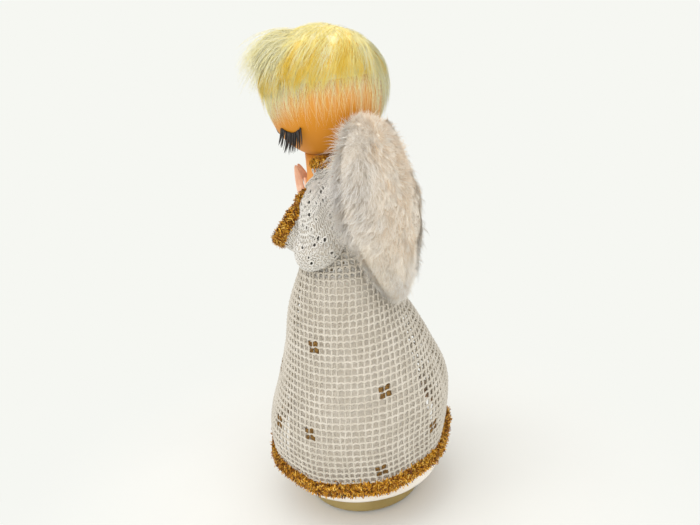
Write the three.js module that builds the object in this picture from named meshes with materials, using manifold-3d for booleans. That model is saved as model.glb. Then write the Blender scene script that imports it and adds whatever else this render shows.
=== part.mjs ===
// Musical angel figurine: a doll on a round foot. Twisting the foot winds the movement inside the
// body cone, and the figure then revolves on the foot as the pinned cylinder plays the comb.
// Millimetres, +Z up, origin on the floor at the centre of the foot. The figure faces -Y.
import * as THREE from "three";
import { mergeVertices } from "three/addons/utils/BufferGeometryUtils.js";
import Module from "manifold-3d";

const wasm = await Module();
wasm.setup();

// Clearances
const SEAT = 0.15; // between faces that rest on each other
const RUN = 0.15; // around a shaft in its bearing
const PRESS = 0.05; // around a shaft that carries a pressed-on wheel
const TURN_GAP = 0.4; // between the foot and the figure that turns on it
const CLOTH_GAP = 0.3; // between layers of cloth, card and skin

// Foot
const FELT_T = 1.0;
const FELT_R = 27.0;
const FOOT_R = 29.4;
const FOOT_H = 12.3;
const FOOT_WALL = 2.2;
const FOOT_EDGE = 0.9;
const FOOT_HUB_R = 7.0;
const FOOT_BOSS_H = 1.0;

// Body cone and its floor
const CONE_FOOT_R = 39.06;
const CONE_TOP_R = 13.3;
const CONE_H = 135.1;
const CARD_T = 1.5;
const FLOOR_T = 3.0;

// Bust and head
const BUST_PLUG_L = 12.0;
const CHEST_R = 13.3;
const NECK_R = 9.8;
const NECK_RISE = 17.0; // from the top of the cone to the narrow of the neck
const LEAN = -4.0; // how far the neck stands ahead of the cone's axis
const HEAD_R = 26.5;
const HEAD_RISE = 51.0; // from the top of the cone to the middle of the head
const HEAD_Y = -2.0;
const HEAD_TURN = 30; // degrees, the face towards the left
const DOWEL_R = 3.0;
const DOWEL_L = 34.0;

// Face: two closed eyes with strips of lashes
const EYE_AZIMUTH = 36; // degrees from the middle of the face
const EYE_DROP = 31; // degrees below the middle of the head
const EYE_HALF_WIDTH = 14; // degrees
const LASH_L = 9.0;
const LASH_COUNT = 9;
const LASH_R = 0.45;
const LID_BAND_HALF_H = 0.6;

// Wig
const WIG_T = 3.0;
const WIG_FRONT_RISE = 2.0; // hair edge above the middle of the head, at the front
const WIG_BACK_DROP = 13.0; // hair edge below the middle of the head, at the back
const FRINGE_REACH = 38.5; // ahead of the middle of the head
const FRINGE_RISE = 11.0;
const FRINGE_HALF_WIDTH = 22.0;
const FRINGE_HALF_H = 13.0;

// Hands
const HAND_L = 19.0;
const HAND_W = 5.4;
const HAND_T = 2.4;
const HAND_TIP_RISE = 20.0; // above the top of the cone
const HAND_TIP_Y = -20.4;
const HAND_TIP_GAP = 0.4; // half the gap between the finger tips
const HAND_SPREAD = 22; // degrees, how far the wrists stand apart
const HAND_TILT = 8; // degrees, how far the finger tips lean forward
const ARM_R = 0.8;

// Dress
const CLOTH_T = 0.9;
const HEM_WHITE_Z = 12.8;
const WAIST_DROP = 24.0; // below the top of the cone
const BODICE_FOOT_DROP = 29.0; // below the top of the cone
const BODICE_TOP_RISE = 17.5; // above the top of the cone
const NECKLINE_DEPTH = 26.0;
const NECKLINE_HALF_W = 10.5;
const NET_T = 1.0;
const NET_HEM_Z = 31.7;
const NET_HEM_LIFT_BACK = 0.3; // over the hem's radius
const NET_HEM_DROP_LEFT = 6.5;
// Radius of the net below the waist, by the share of the way down to the hem
const NET_FRONT = [
  [0.24, 29.4],
  [0.44, 33.1],
  [0.66, 39.4],
  [0.85, 45.2],
  [1, 43.9],
];
const NET_BACK = [
  [0.25, 27],
  [0.35, 32.5],
  [0.5, 39.2],
  [0.71, 46.2],
  [1, 43.6],
];
const NET_ROWS = 10;
const NET_COLUMNS = 45;
const NET_FOLDS = 9;
const NET_FOLD_DEPTH = 0.6;
const TRIM_T = 3.0;
const TRIM_W = 6.5;
const COLLAR_R = 2.4;

// Sleeves, as two rails in side view (y, height over the cone's top) and a thickness
const SLEEVE_INNER = [
  [-5, 13],
  [-9.5, 13.5],
  [-14, 12.5],
];
const SLEEVE_OUTER = [
  [9, 10],
  [8.5, -4],
  [1, -18],
  [-14, -22],
  [-31.5, -15.5],
];
const SLEEVE_SHOULDER_T = 6.0;
const SLEEVE_ELBOW_T = 11.0;
const SLEEVE_CUFF_T = 10.0;
const SLEEVE_STATIONS = 12;
const SLEEVE_SIDES = 20;
const SLEEVE_MIDDLE_GAP = 2.6; // of each sleeve from the middle plane, in front of the body
const CUFF_T = 1.4;
const CUFF_STATIONS = 2; // of the sleeve, that the trim covers

// Wings
const WING_HALF_SPAN = 45.0;
const WING_DROP = 45.5; // below the top of the cone
const WING_RISE = 45.0; // above the top of the cone
const WING_T = 14.0;
const WING_INNER_X = 0.5;
const WING_Y = 28.0; // of the middle plane, at the height of the cone's top
const WING_LEAN = 4; // degrees, lower end back
const WING_SWEEP = 13; // degrees, tips forward
const WING_WEB_HALF_T = 0.9;
const WING_CARD_W = 14.0;
const WING_CARD_T = 1.2;
const WING_CARD_H = 26.0;

// Movement: winding arbor on the figure's axis, cylinder lying along +X
const ARBOR_R = 2.2;
const BED_T = 2.5;
const BED_BACK = 14.0;
const BED_FRONT = 33.0;
const BED_SIDE = 19.0;
const BED_CORNER = 10.0;
const BARREL_R = 11.8;
const BARREL_H = 13.0;
const BARREL_WALL = 0.8;
const SPRING_T = 0.4;
const SPRING_TURNS = 4;
const CROWN_TEETH = 30;
const CROWN_MEAN_R = 14.2;
const CROWN_FACE = 3.0;
const CROWN_T = 1.5;
const CROWN_TOOTH_H = 1.3;
const CLIP_R = 4.2;
const CLIP_T = 1.0;
const PINION_TEETH = 10;
const PINION_ADDENDUM = 0.5;
const PINION_DEDENDUM = 1.0;
const CYLINDER_R = 5.2;
const CYLINDER_L = 10.4;
const CYLINDER_ARBOR_R = 1.0;
const PIN_H = 0.6;
const PIN_R = 0.22;
const NOTES = 18;
const POST_T = 1.2;
const TRAIN_MODULE = 0.5;
const CYLINDER_WHEEL_TEETH = 30;
const CYLINDER_WHEEL_T = 1.2;
const GOVERNOR_PINION_TEETH = 8;
const WORM_WHEEL_TEETH = 12;
const WORM_WHEEL_T = 1.4;
const GOVERNOR_ARBOR_R = 0.7;
const WORM_R = 1.6; // at the pitch line
const WORM_TURNS = 3;
const WORM_SHAFT_R = 0.6;
const FAN_R = 4.2;
const FAN_H = 3.6;
const FAN_T = 0.5;
const COMB_T = 1.0;
const COMB_TOOTH_L = 9.0;
const COMB_HEEL = 4.0;
const COMB_GAP = 0.35; // from the tooth tips to the path of the pins
const COMB_SCREW_R = 0.8;
const SCREW_R = 1.1;
const SCREW_HEAD_R = 2.2;
const SCREW_HEAD_H = 1.0;

// Materials
const material = (color, roughness, metalness = 0) =>
  new THREE.MeshStandardMaterial({ color, roughness, metalness });
const IVORY_PLASTIC = material(0xc4b678, 0.35);
const FELT = material(0x3d4a38, 0.95);
const CARD = material(0xb49a72, 0.9);
const WOOD = material(0xb98d58, 0.7);
const SKIN = material(0xe09a62, 0.5);
const HAND_SKIN = material(0xe8b09a, 0.45);
const LASH_BLACK = material(0x14100e, 0.6);
const BLOND_FUR = material(0xf0dd9a, 0.8);
const WHITE_FUR = material(0xf3ecdf, 0.85);
const WHITE_CLOTH = material(0xf4f1ec, 0.85);
const NET_CLOTH = material(0xf1ece4, 0.8);
const LACE_CLOTH = material(0xf5f2ec, 0.85);
const TINSEL = material(0xc08a2c, 0.3, 0.9);
const ZINC = material(0x9a9a98, 0.45, 0.8);
const STEEL = material(0xb8b8b8, 0.3, 0.9);
const BLUE_STEEL = material(0x4a5570, 0.3, 0.9);
const BRASS = material(0xc9a24a, 0.3, 0.9);
const NYLON = material(0xe8e4d8, 0.5);

// Shapes

// A closed geometry facing out, with its corners merged and collapsed faces dropped.
function facingOut(geometry) {
  const plain = new THREE.BufferGeometry();
  const loose = geometry.index ? geometry.toNonIndexed() : geometry;
  plain.setAttribute("position", loose.getAttribute("position").clone());
  const merged = mergeVertices(plain, 1e-4);
  const at = merged.getAttribute("position");
  const corner = [0, 1, 2].map(() => new THREE.Vector3());
  const faces = [];
  let volume = 0;
  for (let i = 0; i < merged.index.count; i += 3) {
    const face = [0, 1, 2].map((k) => merged.index.getX(i + k));
    if (new Set(face).size < 3) continue;
    faces.push(face);
    face.forEach((v, k) => corner[k].fromBufferAttribute(at, v));
    volume += corner[0].dot(corner[1].clone().cross(corner[2]));
  }
  if (volume < 0) faces.forEach((face) => face.reverse());
  return merged.setIndex(faces.flat());
}

// Solids for booleans, and back to geometry.
function solid(geometry) {
  const closed = facingOut(geometry);
  const vertProperties = new Float32Array(closed.getAttribute("position").array);
  const triVerts = new Uint32Array(closed.index.array);
  return new wasm.Manifold(new wasm.Mesh({ numProp: 3, vertProperties, triVerts }));
}
function geometryOf(manifold) {
  const mesh = manifold.getMesh();
  const geometry = new THREE.BufferGeometry();
  geometry.setAttribute("position", new THREE.BufferAttribute(new Float32Array(mesh.vertProperties), 3));
  return geometry.setIndex([...mesh.triVerts]);
}
const cut = (body, ...tools) =>
  geometryOf(tools.reduce((left, tool) => left.subtract(solid(tool)), solid(body)));
const common = (a, b) => geometryOf(solid(a).intersect(solid(b)));
const join = (...pieces) => geometryOf(pieces.map(solid).reduce((all, piece) => all.add(piece)));

// A solid of revolution about +Z from [radius, height] points.
function turned(points, segments = 32) {
  const profile = points.map(([r, z]) => new THREE.Vector2(r, z));
  return new THREE.LatheGeometry(profile, segments).rotateX(Math.PI / 2);
}
function rod(r, z0, z1, segments = 16) {
  return turned([[0, z0], [r, z0], [r, z1], [0, z1]], segments);
}
function tube(rIn, rOut, z0, z1, segments = 32) {
  return turned([[rIn, z0], [rOut, z0], [rOut, z1], [rIn, z1], [rIn, z0]], segments);
}
function box(x0, x1, y0, y1, z0, z1) {
  const geometry = new THREE.BoxGeometry(x1 - x0, y1 - y0, z1 - z0);
  return geometry.translate((x0 + x1) / 2, (y0 + y1) / 2, (z0 + z1) / 2);
}
function prism(shape, depth, curveSegments = 8) {
  return new THREE.ExtrudeGeometry(shape, { depth, bevelEnabled: false, curveSegments });
}
// Turns a shape drawn in x, y and extruded along z so that it is extruded along +X from x0,
// with its x along +Y and its y along +Z.
function alongX(geometry, x0, y0 = 0, z0 = 0) {
  return geometry.rotateX(Math.PI / 2).rotateZ(Math.PI / 2).translate(x0, y0, z0);
}
function circleHole(shape, x, y, r) {
  shape.holes.push(new THREE.Path().absarc(x, y, r, 0, 2 * Math.PI, true));
}
// A skin through rings of points, either capped at both ends or joined end to end.
function loft(rings, joined = false) {
  const n = rings[0].length;
  const points = rings.flat();
  const index = [];
  const spans = joined ? rings.length : rings.length - 1;
  for (let j = 0; j < spans; j++) {
    const next = (j + 1) % rings.length;
    for (let k = 0; k < n; k++) {
      const right = (k + 1) % n;
      index.push(j * n + k, j * n + right, next * n + right);
      index.push(j * n + k, next * n + right, next * n + k);
    }
  }
  const cap = (ring, start, flip) => {
    const middle = ring.reduce((sum, p) => sum.add(p), new THREE.Vector3()).divideScalar(n);
    points.push(middle);
    for (let k = 0; k < n; k++) {
      const pair = [start + k, start + ((k + 1) % n)];
      if (flip) pair.reverse();
      index.push(points.length - 1, ...pair);
    }
  };
  if (!joined) {
    cap(rings[0], 0, true);
    cap(rings[rings.length - 1], (rings.length - 1) * n, false);
  }
  return new THREE.BufferGeometry().setFromPoints(points).setIndex(index);
}
// Angles around a loop. Angle 0 is the front, -Y, and a quarter turn is the figure's left, +X.
const around = (n) => Array.from({ length: n }, (_, k) => (2 * Math.PI * k) / n);
const steps = (n) => Array.from({ length: n + 1 }, (_, k) => k / n);
const polar = (angle, r, z) => new THREE.Vector3(r * Math.sin(angle), -r * Math.cos(angle), z);
const ball = (r, segments, rows) => new THREE.SphereGeometry(r, segments, rows).rotateX(Math.PI / 2);
const rail = (points) => new THREE.SplineCurve(points.map(([x, y]) => new THREE.Vector2(x, y)));
const mirrored = (geometry) => facingOut(geometry.clone().scale(-1, 1, 1));

// Scene graph
const object = new THREE.Group();
object.name = "musical_angel";
const foot = new THREE.Group();
foot.name = "foot_group";
const figure = new THREE.Group();
figure.name = "figure_group";
const movement = new THREE.Group();
movement.name = "movement_group";
object.add(foot, figure);
figure.add(movement);
function place(group, name, geometry, finish) {
  const mesh = new THREE.Mesh(facingOut(geometry), finish.clone());
  mesh.geometry.computeVertexNormals();
  mesh.name = name;
  group.add(mesh);
  return mesh;
}

// Foot: an upturned cup with a hub that takes the winding arbor, on a felt pad
const footZ = FELT_T + SEAT;
const footTop = footZ + FOOT_H;
const bossTop = footTop + FOOT_BOSS_H;
const arborFootZ = footZ + 3;
place(foot, "felt_pad", rod(FELT_R, 0, FELT_T, 40), FELT);
place(
  foot,
  "turn_base",
  turned(
    [
      [0, footZ],
      [FOOT_HUB_R, footZ],
      [FOOT_HUB_R, footTop - FOOT_WALL],
      [FOOT_R - FOOT_WALL, footTop - FOOT_WALL],
      [FOOT_R - FOOT_WALL, footZ],
      [FOOT_R - FOOT_EDGE, footZ],
      [FOOT_R, footZ + FOOT_EDGE],
      [FOOT_R, footTop - FOOT_EDGE],
      [FOOT_R - FOOT_EDGE, footTop],
      [FOOT_HUB_R, footTop],
      [FOOT_HUB_R, bossTop],
      [ARBOR_R + PRESS, bossTop],
      [ARBOR_R + PRESS, arborFootZ - SEAT],
      [0, arborFootZ - SEAT],
    ],
    32,
  ),
  IVORY_PLASTIC,
);

// Body cone and floor
const floorZ = bossTop + TURN_GAP;
const floorTop = floorZ + FLOOR_T;
const coneTop = floorZ + CONE_H;
const taper = (CONE_FOOT_R - CONE_TOP_R) / CONE_H;
const coneR = (z) => CONE_FOOT_R - taper * (z - floorZ);
place(
  figure,
  "body_cone",
  turned(
    [
      [CONE_FOOT_R - CARD_T, floorZ],
      [CONE_FOOT_R, floorZ],
      [CONE_TOP_R, coneTop],
      [CONE_TOP_R - CARD_T, coneTop],
      [CONE_FOOT_R - CARD_T, floorZ],
    ],
    40,
  ),
  CARD,
);

// Movement heights and places
const bedZ = floorTop + SEAT;
const bedTop = bedZ + BED_T;
const barrelZ = bedTop + SEAT;
const barrelTop = barrelZ + BARREL_H;
const crownZ = barrelTop + TURN_GAP;
const crownTop = crownZ + CROWN_T;
const crownPitch = (2 * Math.PI * CROWN_MEAN_R) / CROWN_TEETH;
const pinionR = (PINION_TEETH * crownPitch) / (2 * Math.PI);
const cylinderZ = crownZ - CROWN_TOOTH_H / 2 - pinionR;
const pinionX = CROWN_MEAN_R - CROWN_FACE / 2;
const postAX = pinionX + CROWN_FACE + 0.8;
const drumX = postAX + POST_T + 0.5;
const wheelX = drumX + CYLINDER_L + 0.5;
const postBX = wheelX + CYLINDER_WHEEL_T + 0.6;
const trainPitchR = (teeth) => (TRAIN_MODULE * teeth) / 2;
const governorY = trainPitchR(CYLINDER_WHEEL_TEETH) + trainPitchR(GOVERNOR_PINION_TEETH);
const wormWheelX = drumX + 2.4;
const wormX = wormWheelX + WORM_WHEEL_T / 2;
const wormY = governorY + trainPitchR(WORM_WHEEL_TEETH) + WORM_R;
const bracketX = wormX + WORM_R + TRAIN_MODULE + 0.6;
const bracketTop = cylinderZ + trainPitchR(WORM_WHEEL_TEETH) + 1.2;
const pinTip = CYLINDER_R + PIN_H;
const combY = -(pinTip + COMB_GAP);
const combHeelY = combY - COMB_TOOTH_L;
const combZ = cylinderZ - COMB_T / 2;
const movementScrews = [
  [-9.5, -13],
  [-9.5, 13],
  [26, 9],
];
const combScrewX = [drumX + 2.2, drumX + CYLINDER_L - 2.2];

// Floor with its arbor hole and counterbored screw holes
place(
  figure,
  "body_floor",
  cut(
    rod(coneR(floorTop) - CARD_T - CLOTH_GAP, floorZ, floorTop, 40),
    rod(ARBOR_R + 1, floorZ - 1, floorTop + 1, 20),
    ...movementScrews.map(([x, y]) => rod(SCREW_R + RUN, floorZ - 1, floorTop + 1, 12).translate(x, y, 0)),
    ...movementScrews.map(([x, y]) =>
      rod(SCREW_HEAD_R + RUN, floorZ - 1, floorZ + SCREW_HEAD_H + SEAT, 16).translate(x, y, 0),
    ),
  ),
  WOOD,
);
movementScrews.forEach(([x, y], i) => {
  const screw = turned(
    [
      [0, floorZ + SEAT],
      [SCREW_HEAD_R, floorZ + SEAT],
      [SCREW_HEAD_R, floorZ + SCREW_HEAD_H],
      [SCREW_R, floorZ + SCREW_HEAD_H],
      [SCREW_R, bedTop - SEAT],
      [0, bedTop - SEAT],
    ],
    12,
  );
  place(movement, `movement_screw_${i + 1}`, screw.translate(x, y, 0), STEEL);
});

// Bedplate: a cast plate with the two cylinder posts and the comb rest
const bedShape = new THREE.Shape();
bedShape.moveTo(-BED_BACK + BED_CORNER, -BED_SIDE);
bedShape.lineTo(BED_FRONT - BED_CORNER, -BED_SIDE);
bedShape.absarc(BED_FRONT - BED_CORNER, -BED_SIDE + BED_CORNER, BED_CORNER, -Math.PI / 2, 0);
bedShape.absarc(BED_FRONT - BED_CORNER, BED_SIDE - BED_CORNER, BED_CORNER, 0, Math.PI / 2);
bedShape.absarc(-BED_BACK + BED_CORNER, BED_SIDE - BED_CORNER, BED_CORNER, Math.PI / 2, Math.PI);
bedShape.absarc(-BED_BACK + BED_CORNER, -BED_SIDE + BED_CORNER, BED_CORNER, Math.PI, 1.5 * Math.PI);
circleHole(bedShape, 0, 0, ARBOR_R + RUN);
movementScrews.forEach(([x, y]) => circleHole(bedShape, x, y, SCREW_R + PRESS));
circleHole(bedShape, wormX, wormY, WORM_SHAFT_R + RUN);
// An upright plate across the cylinder's axis with round bosses for its bearings.
function uprightPost(x, bearings, bossR) {
  const first = bearings[0].y;
  const last = bearings[bearings.length - 1].y;
  const shape = new THREE.Shape();
  shape.moveTo(first - bossR, bedTop - 0.5);
  shape.lineTo(last + bossR, bedTop - 0.5);
  shape.lineTo(last + bossR, cylinderZ);
  shape.absarc(last, cylinderZ, bossR, 0, Math.PI / 2);
  shape.absarc(first, cylinderZ, bossR, Math.PI / 2, Math.PI);
  bearings.forEach(({ y, r }) => circleHole(shape, y, cylinderZ, r + RUN));
  return alongX(prism(shape, POST_T, 6), x);
}
const cylinderBearing = { y: 0, r: CYLINDER_ARBOR_R };
const governorBearing = { y: governorY, r: GOVERNOR_ARBOR_R };
const combRest = box(
  drumX - 0.5,
  drumX + CYLINDER_L + 0.5,
  combHeelY - COMB_HEEL,
  combHeelY - 0.4,
  bedTop - 0.5,
  combZ - SEAT,
);
place(
  movement,
  "bedplate",
  cut(
    join(
      prism(bedShape, BED_T, 6).translate(0, 0, bedZ),
      uprightPost(postAX, [cylinderBearing], 2.4),
      uprightPost(postBX, [cylinderBearing, governorBearing], 2.4),
      combRest,
    ),
    ...combScrewX.map((x) =>
      rod(COMB_SCREW_R + PRESS, combZ - 5, combZ + 1, 10).translate(x, combHeelY - COMB_HEEL / 2, 0),
    ),
  ),
  ZINC,
);

// Spring barrel, open towards the bedplate, and the spiral mainspring in it
place(
  movement,
  "spring_barrel",
  turned(
    [
      [BARREL_R - BARREL_WALL, barrelZ],
      [BARREL_R, barrelZ],
      [BARREL_R, barrelTop - 1],
      [BARREL_R - 1, barrelTop],
      [ARBOR_R + RUN, barrelTop],
      [ARBOR_R + RUN, barrelTop - BARREL_WALL],
      [BARREL_R - BARREL_WALL, barrelTop - BARREL_WALL],
      [BARREL_R - BARREL_WALL, barrelZ],
    ],
    36,
  ),
  STEEL,
);
const springStart = ARBOR_R + 0.6;
const springEnd = BARREL_R - BARREL_WALL - CLOTH_GAP - SPRING_T;
const springSteps = SPRING_TURNS * 12;
const spiral = (offset) =>
  steps(springSteps).map((s) => {
    const r = springStart + (springEnd - springStart) * s + offset;
    const angle = 2 * Math.PI * SPRING_TURNS * s;
    return new THREE.Vector2(r * Math.cos(angle), r * Math.sin(angle));
  });
const springShape = new THREE.Shape([...spiral(SPRING_T), ...spiral(0).reverse()]);
place(
  movement,
  "mainspring",
  prism(springShape, BARREL_H - BARREL_WALL - 2).translate(0, 0, barrelZ + 1),
  BLUE_STEEL,
);

// Winding arbor, crown wheel and clip: they stand still with the foot while the figure turns
const arborTop = crownTop + SEAT + CLIP_T + 1;
place(foot, "winding_arbor", rod(ARBOR_R, arborFootZ, arborTop, 24), STEEL);
const crownTooth = new THREE.Shape();
const crownHalfTip = 0.15 * crownPitch;
const crownHalfRoot = 0.23 * crownPitch;
crownTooth.moveTo(-crownHalfRoot, 0.3);
crownTooth.lineTo(-crownHalfTip, -CROWN_TOOTH_H);
crownTooth.lineTo(crownHalfTip, -CROWN_TOOTH_H);
crownTooth.lineTo(crownHalfRoot, 0.3);
const crownOuter = CROWN_MEAN_R + CROWN_FACE / 2;
const crownInner = CROWN_MEAN_R - CROWN_FACE / 2;
const crownTeeth = Array.from({ length: CROWN_TEETH }, (_, k) =>
  alongX(prism(crownTooth, CROWN_FACE), crownInner, 0, crownZ).rotateZ((k * 2 * Math.PI) / CROWN_TEETH),
);
place(
  foot,
  "crown_wheel",
  join(
    turned(
      [
        [ARBOR_R + PRESS, crownZ - TURN_GAP / 2],
        [ARBOR_R + 2, crownZ - TURN_GAP / 2],
        [ARBOR_R + 2, crownZ],
        [crownOuter, crownZ],
        [crownOuter, crownTop],
        [ARBOR_R + PRESS, crownTop],
        [ARBOR_R + PRESS, crownZ - TURN_GAP / 2],
      ],
      30,
    ),
    ...crownTeeth,
  ),
  BRASS,
);
const clipShape = new THREE.Shape().absarc(0, 0, CLIP_R, -Math.PI * 0.8, Math.PI * 0.8);
clipShape.absarc(0, 0, ARBOR_R + PRESS, Math.PI * 0.8, -Math.PI * 0.8, true);
place(foot, "arbor_clip", prism(clipShape, CLIP_T, 14).translate(0, 0, crownTop + SEAT), STEEL);

// Toothed outline with its first tooth, or its first gap, along +x.
function gearShape(teeth, rRoot, rTip, rootShare, tipShare, startWithGap, boreR) {
  const shape = new THREE.Shape();
  const pitch = (2 * Math.PI) / teeth;
  for (let k = 0; k < teeth; k++) {
    const middle = (k + (startWithGap ? 0.5 : 0)) * pitch;
    const corners = [
      [rRoot, -rootShare / 2],
      [rTip, -tipShare / 2],
      [rTip, tipShare / 2],
      [rRoot, rootShare / 2],
    ];
    corners.forEach(([r, share], i) => {
      const angle = middle + share * pitch;
      const x = r * Math.cos(angle);
      const y = r * Math.sin(angle);
      if (k + i === 0) shape.moveTo(x, y);
      else shape.lineTo(x, y);
    });
  }
  shape.closePath();
  circleHole(shape, 0, 0, boreR);
  return shape;
}
function trainGear(teeth, startWithGap, boreR) {
  const r = trainPitchR(teeth);
  const root = r - 1.0 * TRAIN_MODULE;
  return gearShape(teeth, root, r + 0.7 * TRAIN_MODULE, 0.5, 0.22, startWithGap, boreR);
}

// Cylinder: arbor, pinion, pinned drum and wheel
const cylinderEnd = postBX + POST_T + 0.5;
const onCylinder = (shape, thickness, x) => alongX(prism(shape, thickness, 6), x, 0, cylinderZ);
place(
  movement,
  "cylinder_arbor",
  alongX(rod(CYLINDER_ARBOR_R, 0, cylinderEnd - pinionX + 0.3, 14), pinionX - 0.3, 0, cylinderZ),
  STEEL,
);
const pinionShape = gearShape(
  PINION_TEETH,
  pinionR - PINION_DEDENDUM,
  pinionR + PINION_ADDENDUM,
  0.42,
  0.22,
  false,
  CYLINDER_ARBOR_R + PRESS,
);
place(movement, "cylinder_pinion", onCylinder(pinionShape, CROWN_FACE, pinionX).clone(), BRASS);
const drumPins = [];
for (let note = 0; note < NOTES; note++) {
  for (const beat of [0, 1]) {
    const angle = 2 * Math.PI * ((note * 0.381966 + beat * 0.31) % 1);
    const x = drumX + ((note + 0.5) * CYLINDER_L) / NOTES;
    const pin = new THREE.ConeGeometry(PIN_R, PIN_H + 0.5, 4).rotateX(Math.PI / 2);
    pin.translate(0, 0, CYLINDER_R - 0.5 + (PIN_H + 0.5) / 2).rotateX(angle).translate(x, 0, cylinderZ);
    drumPins.push(pin);
  }
}
const drum = alongX(tube(CYLINDER_ARBOR_R + PRESS, CYLINDER_R, 0, CYLINDER_L, 32), drumX, 0, cylinderZ);
place(movement, "pinned_cylinder", join(drum, ...drumPins), BRASS);
place(
  movement,
  "cylinder_wheel",
  onCylinder(trainGear(CYLINDER_WHEEL_TEETH, false, CYLINDER_ARBOR_R + PRESS), CYLINDER_WHEEL_T, wheelX),
  BRASS,
);

// Comb: eighteen teeth, longer at the bass end, held by two screws
const combShape = new THREE.Shape();
const combPitch = CYLINDER_L / NOTES;
const combSlot = 0.36 * combPitch;
combShape.moveTo(drumX, combHeelY - COMB_HEEL);
combShape.lineTo(drumX + CYLINDER_L, combHeelY - COMB_HEEL);
combShape.lineTo(drumX + CYLINDER_L, combY);
for (let note = NOTES - 1; note > 0; note--) {
  const x = drumX + note * combPitch;
  const slotEnd = combHeelY + (COMB_TOOTH_L * 0.35 * note) / NOTES;
  combShape.lineTo(x + combSlot / 2, combY);
  combShape.lineTo(x + combSlot / 2, slotEnd);
  combShape.lineTo(x - combSlot / 2, slotEnd);
  combShape.lineTo(x - combSlot / 2, combY);
}
combShape.lineTo(drumX, combY);
combShape.closePath();
combScrewX.forEach((x) => circleHole(combShape, x, combHeelY - COMB_HEEL / 2, COMB_SCREW_R + RUN));
place(movement, "comb", prism(combShape, COMB_T, 4).translate(0, 0, combZ), STEEL);
combScrewX.forEach((x, i) => {
  const under = combZ + COMB_T + SEAT;
  const screw = turned(
    [
      [0, combZ - 4],
      [COMB_SCREW_R, combZ - 4],
      [COMB_SCREW_R, under],
      [COMB_SCREW_R + 0.8, under],
      [COMB_SCREW_R + 0.8, under + 0.9],
      [0, under + 0.9],
    ],
    12,
  );
  place(movement, `comb_screw_${i + 1}`, screw.translate(x, combHeelY - COMB_HEEL / 2, 0), STEEL);
});

// Governor: pinion and worm wheel on one arbor, a worm with an air fan, and its bracket
const bracketShape = new THREE.Shape();
bracketShape.moveTo(governorY - 2, bedTop + SEAT);
bracketShape.lineTo(wormY + 2, bedTop + SEAT);
bracketShape.lineTo(wormY + 2, bracketTop + 1);
bracketShape.lineTo(governorY - 2, bracketTop + 1);
bracketShape.closePath();
circleHole(bracketShape, governorY, cylinderZ, GOVERNOR_ARBOR_R + RUN);
place(
  movement,
  "governor_bracket",
  cut(
    join(
      alongX(prism(bracketShape, 1, 6), bracketX),
      box(wormX - 1.8, bracketX + 0.5, wormY - 1.8, wormY + 2, bracketTop, bracketTop + 1),
      box(bracketX, bracketX + 4, governorY - 2, wormY + 2, bedTop + SEAT, bedTop + SEAT + 1),
    ),
    rod(WORM_SHAFT_R + RUN, bracketTop - 1, bracketTop + 2, 12).translate(wormX, wormY, 0),
  ),
  STEEL,
);
const onGovernor = (shape, thickness, x) => alongX(prism(shape, thickness, 6), x, governorY, cylinderZ);
const governorArborX = wormWheelX - 0.5;
const governorArbor = rod(GOVERNOR_ARBOR_R, 0, cylinderEnd - governorArborX, 12);
place(movement, "governor_arbor", alongX(governorArbor, governorArborX, governorY, cylinderZ), STEEL);
const governorPinion = trainGear(GOVERNOR_PINION_TEETH, true, GOVERNOR_ARBOR_R + PRESS);
place(
  movement,
  "governor_pinion",
  onGovernor(governorPinion, CYLINDER_WHEEL_T + 0.4, wheelX - 0.2),
  BRASS,
);
place(
  movement,
  "governor_worm_wheel",
  onGovernor(trainGear(WORM_WHEEL_TEETH, false, GOVERNOR_ARBOR_R + PRESS), WORM_WHEEL_T, wormWheelX),
  NYLON,
);
const wormPitch = Math.PI * TRAIN_MODULE;
const wormRoot = WORM_R - 1.0 * TRAIN_MODULE;
const wormTip = WORM_R + 0.6 * TRAIN_MODULE;
// The thread has a gap on the wheel's side, -Y, at the height of the wheel's middle.
const threadRings = steps(WORM_TURNS * 10).map((s) => {
  const turn = WORM_TURNS * (s - 0.5);
  const angle = -Math.PI / 2 + 2 * Math.PI * turn;
  const z = cylinderZ + wormPitch * (turn + 0.5);
  const corner = (r, dz) => new THREE.Vector3(r * Math.cos(angle), r * Math.sin(angle), z + dz * wormPitch);
  const buried = wormRoot - 0.3;
  return [corner(buried, -0.2), corner(wormTip, -0.09), corner(wormTip, 0.09), corner(buried, 0.2)];
});
const wormHalfL = (WORM_TURNS * wormPitch) / 2 + 0.6;
const wormShaftTop = bracketTop + 1 + 0.6 + FAN_H + 0.6;
place(
  movement,
  "governor_worm",
  join(
    turned(
      [
        [0, bedZ + SEAT],
        [WORM_SHAFT_R, bedZ + SEAT],
        [WORM_SHAFT_R, cylinderZ - wormHalfL + wormPitch / 2],
        [wormRoot, cylinderZ - wormHalfL + wormPitch / 2],
        [wormRoot, bracketTop - 0.3],
        [WORM_SHAFT_R, bracketTop - 0.3],
        [WORM_SHAFT_R, wormShaftTop],
        [0, wormShaftTop],
      ],
      14,
    ),
    loft(threadRings),
  ).translate(wormX, wormY, 0),
  STEEL,
);
const fanZ = bracketTop + 1 + 0.6;
place(
  movement,
  "governor_fan",
  cut(
    join(
      rod(WORM_SHAFT_R + 0.8, fanZ, fanZ + FAN_H, 12),
      box(-FAN_R, FAN_R, -FAN_T / 2, FAN_T / 2, fanZ, fanZ + FAN_H),
    ),
    rod(WORM_SHAFT_R + PRESS, fanZ - 1, fanZ + FAN_H + 1, 12),
  ).translate(wormX, wormY, 0),
  NYLON,
);

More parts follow.
